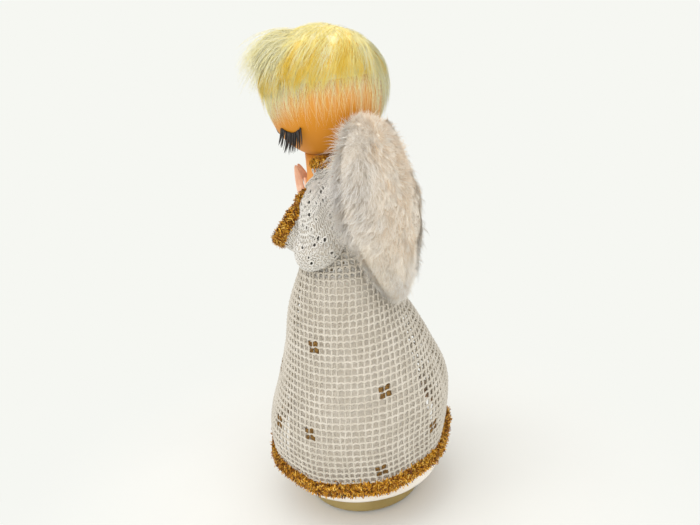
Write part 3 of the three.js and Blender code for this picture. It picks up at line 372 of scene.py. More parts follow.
under_share = np.linspace(0, 1, UNDER_ROWS)[:, None]
under_z = HEM_WHITE_Z + UNDER_CLEAR + (UNDER_TOP_Z - HEM_WHITE_Z) * under_share
turned_in = UNDER_TURN * np.exp(-((under_z - HEM_WHITE_Z) / UNDER_TURN_H) ** 2)
under_angle = angles(UNDER_COLUMNS)[None, :]
soft_folds = UNDER_FOLD * np.cos(UNDER_FOLDS * under_angle + 4 * under_share) * (1 - under_share)
tuck = UNDER_TUCK * np.clip((under_z - UNDER_TUCK_Z) / UNDER_TUCK_H, 0, 1)
under_r = cone_r(under_z) + UNDER_OUT - turned_in + soft_folds - tuck
under_points = polar(under_angle, under_r, under_z).reshape(-1, 3)
under_faces = [grid_faces(UNDER_ROWS, UNDER_COLUMNS)]
underskirt = piece("underskirt_cloth", under_points, under_faces, taffeta, "white_cloth")


def thicken(made, thickness):
    """Gives a cloth its thickness, inwards from its outer face."""
    wall = made.modifiers.new("thickness", "SOLIDIFY")
    wall.thickness = thickness * MM
    wall.offset = -1.0


thicken(underskirt, UNDER_T)
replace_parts(underskirt, "underskirt")


# Net overskirt
# Off-white cotton net, a straight panel for each side, seamed in front and behind and tied at the waist.
# Wavy cross threads are knotted to upright ones; it is drawn straight in front and puffs out behind.
WAIST_Z = 125.95
CLOTH_GAP = 0.3
CLOTH_T = 0.9
NET_T = 1.0
NET_HEM_Z = 31.7
NET_HEM_LIFT_BACK = 0.3
NET_HEM_DROP_LEFT = 6.5
NET_FOLDS = 9
NET_FOLD_DEPTH = 0.6
NET_FRONT = [[0.24, 29.4], [0.44, 33.1], [0.66, 39.4], [0.85, 45.2], [1, 43.9]]
NET_BACK = [[0.25, 27], [0.35, 32.5], [0.5, 39.2], [0.71, 46.2], [1, 43.6]]
NET_ROWS = 34
NET_TOP_ROWS = 3
NET_SIDE = 105.0
NET_PITCH = 3.0
NET_PANEL = math.radians(95)
CELLS_ROUND = 100
STEPS_PER_CELL = 3
THREAD_SIDES = 4
ROW_THREAD_R = 0.57
ROW_INSET = 0.42
ROW_WAVE = 0.3
ROW_SWAY = 0.12
ROW_SWAYS = 5
COLUMN_THREAD_R = 0.54
COLUMN_INSET = 0.58
COLUMN_WAVE = 0.16
COLUMN_SWAY = 0.14
COLUMN_SWAYS = 6
SWAY_RATE = 4.2
KNOT_SWELL = 0.5
KNOT_SHARE = 0.13

waist_r = cone_r(WAIST_Z) + 2 * CLOTH_GAP + CLOTH_T + NET_T


def rail(points):
    """A smooth curve through points, each piece a cubic with its slope from the neighbours."""
    line = np.array(points, float)
    last = len(line) - 1

    def at(share):
        place = np.clip(share, 0, 1) * last
        i = np.minimum(place.astype(int), last - 1)
        w = (place - i)[..., None]
        p1 = line[i]
        p2 = line[i + 1]
        v1 = (p2 - line[np.maximum(i - 1, 0)]) / 2
        v2 = (line[np.minimum(i + 2, last)] - p1) / 2
        cubic = (2 * p1 - 2 * p2 + v1 + v2) * w**3
        return cubic + (3 * p2 - 3 * p1 - 2 * v1 - v2) * w**2 + v1 * w + p1

    return at


fine_q = np.linspace(0, 1, 801)


def evenly(outline):
    """An outline of shares of the height and radii, read at even steps along its length."""
    drawn = rail(outline)(fine_q)
    steps = np.diff(drawn * [WAIST_Z - NET_HEM_Z, 1], axis=0)
    run = np.append(0, np.linalg.norm(steps, axis=1).cumsum())
    return np.stack([np.interp(fine_q, run / run[-1], drawn[:, i]) for i in (0, 1)], -1)


net_front = evenly([[0, waist_r], [0.05, waist_r + 1.6], *NET_FRONT])
net_back = evenly([[0, waist_r], [0.06, waist_r + 1.7], [0.14, waist_r + 3.6], *NET_BACK])


def net_point(angle, q, inset):
    """A point of the net: front and back outlines blended by angle, folded at the hem. Above the
    waist, where q is below 0, it runs on up the bodice."""
    above = np.maximum(-q, 0) * NET_SIDE
    back = 0.5 - np.cos(angle) / 2
    outline = [
        np.interp(q, fine_q, net_front[:, i]) * (1 - back) + np.interp(q, fine_q, net_back[:, i]) * back
        for i in (0, 1)
    ]
    fold = NET_FOLD_DEPTH * q * q * np.cos(NET_FOLDS * angle)
    hem_z = NET_HEM_Z - NET_HEM_LIFT_BACK * np.cos(angle) - NET_HEM_DROP_LEFT * np.sin(angle)
    z = WAIST_Z + (hem_z - WAIST_Z) * outline[0] + above
    drawn_in = above * (CONE_FOOT_R - CONE_TOP_R) / CONE_H
    return polar(angle, outline[1] + fold - inset - drawn_in, z)


mean_r = (net_front[:, 1] + net_back[:, 1]) / 2


def net_mean_r(q):
    """Mean radius of the net, by which its upright threads keep their distance."""
    return np.interp(q, fine_q, mean_r)


def on_panel(column, q, side):
    """The angle of an upright thread of the left or right panel, counted from the panel's middle."""
    return side * (NET_PANEL + column * NET_PITCH / net_mean_r(q))


def tubes(paths, radii, sides, joined=False):
    """Tubes round many paths at once: (count, steps, 3) points and radii, capped or joined."""
    count, steps = paths.shape[:2]
    if joined:
        run = unit(np.roll(paths, -1, 1) - np.roll(paths, 1, 1))
    else:
        run = unit(np.gradient(paths, axis=1))
    away = np.eye(3)[np.argmin(np.abs(run).mean(1), axis=1)][:, None]
    side = unit(np.cross(run, away))
    other = np.cross(run, side)
    turn = angles(sides)[None, None, :, None]
    ring = side[:, :, None] * np.cos(turn) + other[:, :, None] * np.sin(turn)
    points = paths[:, :, None] + np.broadcast_to(radii, (count, steps))[..., None, None] * ring
    one = grid_faces(steps, sides, joined_rows=joined)
    starts = (np.arange(count) * steps * sides)[:, None, None]
    faces = [(one[None] + starts).reshape(-1, 4)]
    if not joined:
        first = np.arange(sides)[::-1][None, :]
        last = first[:, ::-1] + (steps - 1) * sides
        faces.append((np.concatenate([first, last])[None] + starts).reshape(-1, sides))
    return points.reshape(-1, 3), faces


def joined_meshes(*meshes):
    """Several point and face sets as one."""
    offsets = np.cumsum([0] + [len(points) for points, _ in meshes])
    points = np.concatenate([m[0] for m in meshes])
    faces = [f + offset for (_, sets), offset in zip(meshes, offsets) for f in sets]
    return points, faces


def knots(count):
    """Swelling of a thread by its knots: a bell at every whole number."""
    return 1 + KNOT_SWELL * np.exp(-(((count + 0.5) % 1 - 0.5) / KNOT_SHARE) ** 2)


net_dice = np.random.default_rng(11)
row_number = np.arange(-NET_TOP_ROWS, NET_ROWS + 1)[:, None]
row_angle = np.linspace(-np.pi, np.pi, CELLS_ROUND * STEPS_PER_CELL, endpoint=False)[None, :]
row_base_q = row_number / NET_ROWS
row_cells = (np.abs(row_angle) - NET_PANEL) * net_mean_r(row_base_q) / NET_PITCH
row_sway = net_dice.normal(0, 0.5, (len(row_number), ROW_SWAYS))
sway_turn = row_angle[..., None] * np.arange(1, ROW_SWAYS + 1) + net_dice.uniform(0, 6.28, ROW_SWAYS)
row_drift = ROW_SWAY * (np.sin(sway_turn) * row_sway[:, None, :]).sum(-1)
row_lift = (ROW_WAVE * np.cos(2 * np.pi * row_cells) + row_drift) / NET_PITCH
row_lift = row_lift * (row_number < NET_ROWS)
row_q = (row_number + row_lift) / NET_ROWS
row_paths = net_point(row_angle + 0 * row_base_q, row_q, NET_T * ROW_INSET)
row_mesh = tubes(row_paths, ROW_THREAD_R * knots(row_cells), THREAD_SIDES, joined=True)

panel_wide = np.array([-NET_PANEL, np.pi - NET_PANEL]) * mean_r.max() / NET_PITCH
column_number = np.arange(*panel_wide.astype(int))[:, None]
panel_side = np.repeat([1.0, -1.0], len(column_number))[:, None]
column_number = np.tile(column_number, (2, 1))
room = np.where(column_number < 0, NET_PANEL, np.pi - NET_PANEL)
grown = np.maximum.accumulate(mean_r)
column_top = np.interp(np.abs(column_number) * NET_PITCH / room, grown, fine_q)
top_row = np.where(column_top > 0, column_top * NET_ROWS, -NET_TOP_ROWS)
down = np.linspace(0, 1, NET_ROWS * STEPS_PER_CELL + 1)[None, :]
column_rows = top_row + (NET_ROWS - top_row) * down
column_q = column_rows / NET_ROWS
column_sway = net_dice.normal(0, COLUMN_SWAY, (len(column_number), COLUMN_SWAYS))
sway_start = net_dice.uniform(0, 6.28, COLUMN_SWAYS)
sway_down = np.sin(down[..., None] * np.arange(1, COLUMN_SWAYS + 1) * SWAY_RATE + sway_start)
column_bend = (sway_down * column_sway[:, None, :]).sum(-1) + COLUMN_WAVE * np.sin(np.pi * column_rows)
column_angle = on_panel(column_number + column_bend / NET_PITCH, column_q, panel_side)
column_paths = net_point(column_angle, column_q, NET_T * COLUMN_INSET)
column_mesh = tubes(column_paths, COLUMN_THREAD_R * knots(column_rows), THREAD_SIDES)

cotton = Finish("net_cotton", Roughness=0.85, Sheen_Weight=0.2)
cotton.shades(cotton.noise(140.0), (190, 182, 167), (208, 201, 188))
cotton.bump(cotton.noise(3200.0, 2.0), 0.12, 0.7)
net_skirt = piece("net_skirt_threads", *joined_meshes(row_mesh, column_mesh), cotton, "net")
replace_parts(net_skirt, "net_skirt")


# Net flowers
# Four neighbouring cells of the net darned full with brown-gold lurex make each small flower.
# They stand in staggered rows all round the skirt, and are stitched into the threads.
FLOWER_CELLS = [(-5, 11), (6, 18), (-6, 24), (5, 30), (15, 27), (-14, 25), (-18, 18), (-21, 30)]
PAD_STEPS = 7
PAD_GAP = 0.1
PAD_TWIST = 0.1
PAD_INSET = 0.05
PAD_CROWN = 0.35
WELD_GAP = 0.02

lurex = Finish("brown_gold_lurex", Metallic=0.45, Roughness=0.4)
lurex_wire = lurex.noise(1500.0, 2.0)
lurex.shades(lurex_wire, (70, 44, 14), (136, 98, 32), low=0.35, high=0.62)
lurex.bump(lurex_wire, 0.3, 0.8)
flower_at = np.tile(np.array(FLOWER_CELLS, float), (2, 1))
petals = np.array([[0, 0], [1, 0], [0, 1], [1, 1]])
cells = (flower_at[:, None] + petals[None]).reshape(-1, 2)
flower_side = np.repeat([1.0, -1.0], len(cells) // 2)[:, None, None]
pad_share = np.linspace(-1, 1, PAD_STEPS)
across, along = np.meshgrid(pad_share, pad_share, indexing="xy")
away_x, away_y = np.tile(petals * 2.0 - 1, (len(flower_at), 1)).T[:, :, None, None]
outward = (across * away_x + along * away_y) / 2
beside = (across * away_x - along * away_y) / 2 * (0.75 + 0.25 * outward)
half_cell = 0.5 * net_dice.uniform(0.8, 1.05, (len(cells), 1, 1))
pad_column = cells[:, 0, None, None] + 0.5 + half_cell * away_x * (outward + beside - PAD_GAP)
pad_row = cells[:, 1, None, None] + 0.5 + half_cell * away_y * (outward - beside - PAD_GAP)
pad_q = (pad_row - PAD_TWIST * away_x) / NET_ROWS
pad_angle = on_panel(pad_column + PAD_TWIST * away_y, pad_q, flower_side)
crown = PAD_CROWN * (1 - across**2) * (1 - along**2)
pad_rim = (np.abs(across) == 1) | (np.abs(along) == 1)
pad_out = net_point(pad_angle, pad_q, PAD_INSET - crown)
pad_in = net_point(pad_angle, pad_q, PAD_INSET + crown)
pad_in = np.where(pad_rim[None, ..., None], pad_out, pad_in)
one_pad = grid_faces(PAD_STEPS, PAD_STEPS, joined_columns=False)
pad_starts = (np.arange(len(cells)) * PAD_STEPS**2)[:, None, None]
pad_faces = (np.where(flower_side > 0, one_pad, one_pad[:, ::-1]) + pad_starts).reshape(-1, 4)
pad_points = np.concatenate([pad_out.reshape(-1, 3), pad_in.reshape(-1, 3)])
flower_faces = [pad_faces[:, ::-1], pad_faces + len(cells) * PAD_STEPS**2]
flowers = piece("net_flowers", pad_points, flower_faces, lurex, "tinsel")


def weld(made):
    """Joins points that lie on each other, so that seams are closed."""
    seam = made.modifiers.new("seam", "WELD")
    seam.merge_threshold = WELD_GAP * MM


weld(flowers)


# Hem tinsel
# A band of amber-gold foil clippings twisted into a cord, stitched round the hem of the net.
# Short strips lie slantwise over a dark amber core and bristle at both edges.
TRIM_T = 3.0
TRIM_W = 6.5
FOIL_W = 0.36
FOIL_T = 0.05
FOIL_L = (1.3, 2.5)
FOIL_DEPTH = (0.72, 1.06)
FOIL_SLANT = 0.85
FOIL_PER_MM2 = 4.4
BRISTLE_L = (2.0, 3.4)
BRISTLE_SHARE = 0.2
CORE_SIDES = 12
HEM_STEPS = 720
HEM_OUT = 0.4
HEM_ARC = 1.75


def slips(centres, along, facing, length):
    """Foil strips: boxes round a centre, half a length, width and thickness to each side."""
    along = unit(along)
    side = unit(np.cross(facing, along))
    up = np.cross(along, side)
    flat = [(-1, -1), (1, -1), (1, 1), (-1, 1)]
    signs = np.array([(*f, h) for h in (-1, 1) for f in flat])[None, :, :, None] / 2
    sizes = [along * length[:, None], side * FOIL_W, up * FOIL_T]
    points = centres[:, None] + (signs * np.stack(sizes, 1)[:, None]).sum(2)
    box = [[0, 3, 2, 1], [4, 5, 6, 7], [0, 1, 5, 4], [1, 2, 6, 5], [2, 3, 7, 6], [3, 0, 4, 7]]
    starts = (np.arange(len(centres)) * 8)[:, None, None]
    return points.reshape(-1, 3), [(np.array(box)[None] + starts).reshape(-1, 4)]


def palette_uv(tint, along, side):
    """A place in a strip of colours for each point, so that like strands share one paint."""
    return np.stack([0.01 + 0.98 * tint + 0.002 * side, 0.02 + 0.96 * along], -1)


tinsel_foil = Finish("amber_gold_foil", Metallic=0.55, Roughness=0.3)
foil_stops = [(0.0, (56, 22, 6)), (0.25, (118, 62, 8)), (0.55, (186, 124, 18))]
foil_stops += [(0.82, (216, 158, 36)), (1.0, (248, 210, 112))]
tinsel_foil.drive(Base_Color=tinsel_foil.by_tint(*foil_stops))
core_amber = Finish("dark_amber_core", Metallic=0.35, Roughness=0.5)
core_grain = core_amber.noise(1400.0, 2.0)
core_amber.shades(core_grain, (70, 34, 8), (170, 116, 26))
core_amber.bump(core_grain, 0.4)


def tinsel(name, path, out, across, half, arc, dice, joined=False):
    """Foil round a path: places at an angle of a half or full ellipse, strips slanting on it."""
    if joined:
        run = unit(np.roll(path, -1, 0) - np.roll(path, 1, 0))
    else:
        run = unit(np.gradient(path, axis=0))
    band_l = np.linalg.norm(np.diff(path, axis=0), axis=1).sum()
    count = int(band_l * arc * (half[0] + half[1]) * FOIL_PER_MM2)
    at = dice.integers(0, len(path), count)
    turn = dice.uniform(-arc, arc, count)[:, None]
    depth = dice.uniform(*FOIL_DEPTH, count)[:, None]
    outward = out[at] * np.cos(turn)
    upward = across[at] * np.sin(turn)
    centres = path[at] + depth * (outward * half[0] + upward * half[1])
    facing = unit(outward / half[0] + upward / half[1])
    facing = unit(facing + dice.normal(0, 0.34, (count, 3)))
    sideways = across[at] * np.cos(turn) * half[1] - out[at] * np.sin(turn) * half[0]
    slant = dice.choice([-FOIL_SLANT, FOIL_SLANT], count) + dice.normal(0, 0.3, count)
    along = run[at] * np.cos(slant)[:, None] + unit(sideways) * np.sin(slant)[:, None]
    along = along - facing * (along * facing).sum(-1, keepdims=True)
    bristle = (dice.uniform(0, 1, count) < BRISTLE_SHARE)[:, None]
    stray = unit(facing + unit(sideways) * np.sign(turn) * 0.7 + dice.normal(0, 0.35, (count, 3)))
    along = np.where(bristle, stray, along)
    facing = np.where(bristle, unit(np.cross(stray, run[at] + 0.1)), facing)
    length = np.where(bristle[:, 0], dice.uniform(*BRISTLE_L, count), dice.uniform(*FOIL_L, count))
    points, faces = slips(centres, along, facing, length)
    tint = np.repeat(np.clip(dice.beta(1.6, 1.3, count), 0, 1), 8)
    side = np.tile([0, 1, 1, 0, 0, 1, 1, 0], count)
    uv = palette_uv(tint, 0.5 + 0.01 * np.tile([0, 0, 1, 1] * 2, count), side)
    return piece(name, points, faces, tinsel_foil, "tinsel", smooth=False, uv=uv, tint=tint)


def turned_out(points, faces):
    """Faces of a closed shape, all reversed if the first set holds a negative volume."""
    corner = points[faces[0]] - points.mean(0)
    volume = np.einsum("ij,ij->i", corner[:, 0], np.cross(corner[:, 1], corner[:, 2])).sum()
    return [f[:, ::-1] for f in faces] if volume < 0 else faces


def tinsel_core(name, path, out, across, half, joined=False):
    """The cord inside a band of foil: an ellipse carried along the path."""
    turn = angles(CORE_SIDES)[None, :, None]
    ring = out[:, None] * np.cos(turn) * half[0] + across[:, None] * np.sin(turn) * half[1]
    points = (path[:, None] + ring).reshape(-1, 3)
    faces = [grid_faces(len(path), CORE_SIDES, joined_rows=joined)]
    if not joined:
        ends = np.arange(CORE_SIDES)[None, :]
        faces += [ends[:, ::-1], ends + (len(path) - 1) * CORE_SIDES]
    piece(name, points, turned_out(points, faces), core_amber, "tinsel")


hem_angle = angles(HEM_STEPS)
hem_out = polar(hem_angle, 1.0, 0.0)
hem_up = np.tile([0.0, 0.0, 1.0], (HEM_STEPS, 1))
hem_path = net_point(hem_angle, np.ones(HEM_STEPS), 0) + hem_out * HEM_OUT
hem_half = (TRIM_T * 0.8, TRIM_W / 2)
hem_dice = np.random.default_rng(21)
hem_foil = tinsel("hem_tinsel", hem_path, hem_out, hem_up, hem_half, HEM_ARC, hem_dice, joined=True)
hem_core_half = (TRIM_T * 0.5, TRIM_W * 0.4)
tinsel_core("hem_tinsel_core", hem_path[::3], hem_out[::3], hem_up[::3], hem_core_half, joined=True)
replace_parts(hem_foil, "hem_trim")


# Bust and head
# A turned neck and bare chest and a plain ball head, moulded in flesh-coloured plastic.
# The bust plugs into the cone and the head is cupped on the neck over a hidden dowel.
HEAD_R = 26.5
HEAD_Y = -2.0
HEAD_Z = 200.95
CHEST_R = 13.3
NECK_R = 9.8
NECK_Z = 166.95
LEAN_Y = -4.0
CHIN = 1.05
HEAD_TURN = math.radians(30)
HEAD_AT = np.array([0, HEAD_Y, HEAD_Z])
SKIN_FROM_Z = 165.0
SKIN_SPAN = 50.0
BUST_ROWS = 40
BUST_CUP_ROWS = 8
BUST_SIDES = 96
HEAD_ROWS = 81
HEAD_SIDES = 120


def smooth_step(low, high, value):
    """Rises from 0 at low to 1 at high with level ends."""
    share = np.clip((value - low) / (high - low), 0, 1)
    return share * share * (3 - 2 * share)


def lean_y(z):
    """How far the neck leans forward at a height."""
    return LEAN_Y * smooth_step(CONE_TOP_Z, NECK_Z, z)


def skin_r(z):
    """Radius of the cone, and above it of the chest that narrows to the neck."""
    share = (z - CONE_TOP_Z - SEAT) / (NECK_Z - CONE_TOP_Z - SEAT)
    chest = CHEST_R - (CHEST_R - NECK_R) * smooth_step(0.35, 1, share)
    return np.where(z < CONE_TOP_Z, cone_r(z), chest)


def under_head(points):
    """Height of the underside of the head, a little clear of the ball."""
    flat = points[..., 0] ** 2 + (points[..., 1] - HEAD_Y) ** 2
    return HEAD_Z - CHIN * np.sqrt((HEAD_R + SEAT) ** 2 - flat)


skin = Finish("flesh_plastic", Specular_IOR_Level=0.3)
skin_z = skin.node("SeparateXYZ", inputs={0: skin.place()}, output="Z")
skin_cloud = skin.noise(55.0)
skin_height = (skin_z - SKIN_FROM_Z * MM) * (1 / (SKIN_SPAN * MM)) + 0.16 * (skin_cloud - 0.5)
# The skin is coloured by height: lighter at the neck, deep orange over the lower head, and paler towards
# the crown.
skin_stops = [(0.0, (222, 152, 74)), (0.32, (202, 129, 24)), (0.55, (202, 131, 26))]
skin_stops += [(0.72, (215, 150, 66)), (1.0, (230, 190, 136))]
skin.drive(Base_Color=skin.ramp(skin_height, *skin_stops))
skin.drive(Roughness=0.4 + 0.14 * skin.noise(700.0, 2.0))
skin.bump(skin.noise(900.0, 2.0), 0.04, 0.4)

bust_foot_z = CONE_TOP_Z + SEAT
bust_wall_z = np.linspace(bust_foot_z, NECK_Z, BUST_ROWS)
bust_z = np.append(bust_wall_z, np.full(BUST_CUP_ROWS, NECK_Z + 4))
bust_r = np.append(skin_r(bust_wall_z), NECK_R * np.linspace(1, 0.06, BUST_CUP_ROWS))
bust_rings = polar(angles(BUST_SIDES)[None, :], bust_r[:, None], bust_z[:, None])
bust_rings[..., 1] += lean_y(bust_z)[:, None]
bust_rings[BUST_ROWS:, :, 2] = under_head(bust_rings[BUST_ROWS:])
bust_ends = [[0, 0, bust_foot_z], bust_rings[-1].mean(0)]
bust_points = np.concatenate([bust_rings.reshape(-1, 3), bust_ends])
bust = piece("bust_moulding", bust_points, closed_grid(len(bust_z), BUST_SIDES), skin, "skin")
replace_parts(bust, "bust")

head_turn = np.linspace(-np.pi / 2, np.pi / 2, HEAD_ROWS)
head_profile = HEAD_R * np.stack([np.cos(head_turn), np.sin(head_turn)], -1)
head_profile[[0, -1], 0] = 0
head_profile[:, 1] *= np.where(head_profile[:, 1] < 0, CHIN, 1)
head_points, head_faces = revolved(head_profile, HEAD_SIDES)
head = piece("head_ball", head_points + HEAD_AT, head_faces, skin, "skin")
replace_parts(head, "head")


# Eyelashes
# Two strips of black lashes glued along the lids of the closed eyes, with no other face drawn.
# Each is a thin curved band with tapered hairs in pointed locks that hang and then flick outwards.
LASH_AZIMUTH = 36.0
FAR_AZIMUTH = 40.0
LASH_SPREAD = 14.0
LASH_DROP = 31.0
LASH_BOW = 5.0
LASH_L = 7.8
LASH_R = 0.34
LASH_STEPS = 7
LASH_SIDES = 5
LASH_LOCKS = 10
LOCK_HAIRS = 4
LID_PER_U = 0.8
BAND_R = 0.42
BAND_STEPS = 25
BAND_SIDES = 6


def on_head(azimuth, drop, radius):
    """A point of a ball round the head, by degrees round from the front and down from level."""
    low = np.radians(drop)
    return polar(np.radians(azimuth), radius * np.cos(low), -CHIN * radius * np.sin(low)) + HEAD_AT


def with_head(points):
    """Turns what is drawn on a head that looks ahead to the side that the face looks to."""
    x, y = turned(points[..., 0], points[..., 1] - HEAD_Y, HEAD_TURN)
    return np.stack([x, y + HEAD_Y, points[..., 2]], -1)


lash_black = Finish("black_lash_hair", Roughness=0.45)
lash_black.drive(Base_Color=lash_black.by_tint((0.0, (14, 11, 10)), (1.0, (44, 34, 28))))


def lash_strip(name, side, azimuth, flick, dice):
    """Lashes of one lid: a band along the lid, and hairs that fall by s and flick out by s squared."""

    def on_lid(u, rise, out):
        """A point of the lid at a share u of its half width, by a rise up the lid and a gap off it."""
        return on_head(azimuth + LASH_SPREAD * u, LASH_DROP - LASH_BOW * u * u - rise, HEAD_R + out)

    band = tubes(on_lid(np.linspace(-1, 1, BAND_STEPS), 0, 0.3)[None], BAND_R, BAND_SIDES)
    lock_u = np.repeat(np.linspace(-0.94, 0.94, LASH_LOCKS), LOCK_HAIRS)
    u = lock_u + dice.uniform(-0.09, 0.09, len(lock_u))
    row = dice.choice([0.0, 1.0], len(u))
    root = on_lid(u, 1.2 * row, 0.35)
    outward = unit(root - HEAD_AT)
    sideways = polar(np.radians(azimuth + 90) + 0 * u, 1.0, 0.0)
    s = np.linspace(0, 1, LASH_STEPS)[None, :, None]
    length = (LASH_L * (1 - 0.16 * u * u) + 0.6 * row + dice.normal(0, 0.5, len(u)))[:, None, None]
    fan = (0.2 * u + LID_PER_U * (lock_u - u) + dice.normal(0, 0.02, len(u)))[:, None, None]
    swing = dice.normal(flick, 0.04, len(u))[:, None, None]
    fall = np.array([0, 0, -1.0]) * (0.95 * s - 0.1 * s**2)
    course = fall + outward[:, None] * (0.12 * s + swing * s**2) + sideways[:, None] * fan * s
    hairs = tubes(root[:, None] + length * course, LASH_R * (1 - 0.9 * s[..., 0] ** 1.6), LASH_SIDES)
    points, faces = joined_meshes(band, hairs)
    points = with_head(points * np.array([side, 1, 1]))
    if side < 0:
        faces = [f[:, ::-1] for f in faces]
    plain = np.zeros(BAND_STEPS * BAND_SIDES)
    tint = np.append(plain, np.repeat(dice.uniform(0, 1, len(u)), LASH_STEPS * LASH_SIDES))
    along = np.append(plain, np.tile(np.repeat(s.ravel(), LASH_SIDES), len(u)))
    uv = palette_uv(tint, along, np.append(plain, np.tile(np.arange(LASH_SIDES), LASH_STEPS * len(u))))
    return piece(name, points, faces, lash_black, "lash", uv=uv, tint=tint)


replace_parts(lash_strip("lashes_left", 1, LASH_AZIMUTH, 0.16, np.random.default_rng(31)), "lash_left")
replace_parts(lash_strip("lashes_right", -1, FAR_AZIMUTH, -0.6, np.random.default_rng(32)), "lash_right")


# Lace bodice
# Crocheted white cotton lace with small eyelets, drawn tight over the chest and open in a V.
# The base cloth is cut at each eyelet, a thread is whipped round it, and a fine net lies on top.
BODICE_FOOT_Z = 120.95
BODICE_TOP_Z = 169.6
BODICE_OUT = 1.2
NECKLINE_Z = 141.45
NECKLINE_TOP_Z = 165.45
NECKLINE_HALF_W = 10.5
LACE_T = 0.45
LACE_MESH = 1.5
LACE_THREAD_R = 0.32
THREAD_LIFT = 0.12
THREAD_WAVE = 0.45
CROSS_STEPS = 150
CROSS_WAVES = 24
UPRIGHT_STEPS = 90
UPRIGHT_WAVES = 18
UPRIGHT_STARTS = [0, 0.55, 0.3, 0.55]
EYELET_R = 1.1
EYELET_PITCH = 3.3
EYELET_SIDES = 10
EYELET_RIM_R = 0.3
EYELET_RIM_LIFT = 0.1
BODICE_EYELETS = 0.3
BODICE_ROWS = 100
BODICE_COLUMNS = 200


def sample(table, row, column, joined):
    """A point of a table of points at a broken row and column, blended from its four neighbours."""
    rows, columns = table.shape[:2]
    row = np.clip(row, 0, rows - 1.001)
    column = column % columns if joined else np.clip(column, 0, columns - 1.001)
    r = row.astype(int)
    c = np.minimum(column.astype(int), columns - 1)
    c_next = (c + 1) % columns
    wr = (row - r)[..., None]
    wc = (column - c)[..., None]
    low = table[r, c] * (1 - wc) + table[r, c_next] * wc
    high = table[r + 1, c] * (1 - wc) + table[r + 1, c_next] * wc
    return low * (1 - wr) + high * wr


def parted(points, eyes, reach):
    """Points of threads, moved to the rims of the eyelets that they would cross."""
    for eye, wide in zip(eyes, reach):
        away = points - eye
        far = np.linalg.norm(away, axis=-1, keepdims=True)
        points = np.where(far < wide, eye + away / np.maximum(far, 0.05) * wide, points)
    return points


def lace(name, table, joined, eyelets, dice):
    """Lace over a table of points: cloth less its share of eyelets, whipped rims, and fine threads."""
    rows, columns = table.shape[:2]
    down = np.gradient(table, axis=0)
    if joined:
        round_it = (np.roll(table, -1, 1) - np.roll(table, 1, 1)) / 2
    else:
        round_it = np.gradient(table, axis=1)
    normal = unit(np.cross(down, round_it))
    row_mm = np.maximum(np.linalg.norm(down, axis=-1), 0.05)
    column_mm = np.maximum(np.linalg.norm(round_it, axis=-1), 0.05)

    def on_lace(row, column, lift):
        """Points of the lace at broken rows and columns, lifted off its face."""
        return sample(table, row, column, joined) + sample(normal, row, column, joined) * lift

    centre_row = np.arange(3.0, rows - 4, EYELET_PITCH * 0.87 / row_mm.mean())
    centres = []
    for number, at_row in enumerate(centre_row):
        run = np.cumsum(column_mm[int(at_row)])
        places = np.arange(0.6 + EYELET_PITCH / 2 * (number % 2), run[-1] - 1, EYELET_PITCH)
        at_column = np.interp(places, run, np.arange(columns))
        centres.append(np.stack([np.full(len(places), at_row), at_column], -1))
    centres = np.concatenate(centres)
    centres = centres + dice.normal(0, 0.35, centres.shape)
    centres = centres[dice.uniform(0, 1, len(centres)) < eyelets]
    at_row = np.clip(centres[:, 0], 2, rows - 3)
    at_column = centres[:, 1] % columns if joined else np.clip(centres[:, 1], 2, columns - 3)
    here = (at_row.astype(int), np.minimum(at_column.astype(int), columns - 1))
    size = EYELET_R * dice.uniform(0.75, 1.25, len(at_row))

    faces = grid_faces(rows, columns, joined_columns=joined)[:, ::-1]
    middle = table.reshape(-1, 3)[faces].mean(1)
    eyes = sample(table, at_row, at_column, joined)
    gap = np.full(len(middle), 9.0)
    for eye, reach_mm in zip(eyes, size):
        gap = np.minimum(gap, np.linalg.norm(middle - eye, axis=1) - reach_mm)
    kept, renumbered = np.unique(faces[gap > 0], return_inverse=True)
    cloth_points = (table - normal * 0.1).reshape(-1, 3)[kept]
    cloth = piece(name, cloth_points, [renumbered.reshape(-1, 4)], lace_ground_painted_shade, "lace")
    thicken(cloth, LACE_T)

    turn = angles(EYELET_SIDES)[None, :]
    rim_row = at_row[:, None] + (size / row_mm[here])[:, None] * np.cos(turn)
    rim_column = at_column[:, None] + (size / column_mm[here])[:, None] * np.sin(turn)
    rim_mesh = tubes(on_lace(rim_row, rim_column, EYELET_RIM_LIFT), EYELET_RIM_R, 5, joined=True)

    step = np.linspace(0, 1, CROSS_STEPS)[None, :]
    line_row = np.arange(0.5, rows - 1, LACE_MESH / row_mm.mean())[:, None]
    wave = THREAD_WAVE * np.sin(step * 2 * np.pi * CROSS_WAVES + line_row * 2.1) / row_mm.mean()
    cross_row = line_row + wave + dice.normal(0, 0.3, line_row.shape)
    cross = on_lace(cross_row, step * (columns - 1) + 0 * line_row, THREAD_LIFT)
    cross_mesh = tubes(parted(cross, eyes, size), LACE_THREAD_R, 3)
    line_count = int(np.median(column_mm.sum(1)) / LACE_MESH)
    line_column = (np.arange(line_count) * columns / line_count)[:, None]
    step = np.linspace(0, 1, UPRIGHT_STEPS)[None, :]
    wave = THREAD_WAVE * np.sin(step * 2 * np.pi * UPRIGHT_WAVES + line_column * 1.7) / column_mm.mean()
    first = np.resize(UPRIGHT_STARTS, line_count)[:, None]
    up_row = (first + (1 - first) * step) * (rows - 1)
    up_column = line_column + wave + dice.normal(0, 0.3, line_column.shape)
    upright = on_lace(up_row, up_column, THREAD_LIFT)
    upright_mesh = tubes(parted(upright, eyes, size), LACE_THREAD_R, 3)
    threads = joined_meshes(rim_mesh, cross_mesh, upright_mesh)
    stitches = piece(name + "_stitches", *threads, lace_cotton, "lace")
    flat_area = float((row_mm * column_mm).sum()) * MM * MM
    return cloth, stitches, flat_area


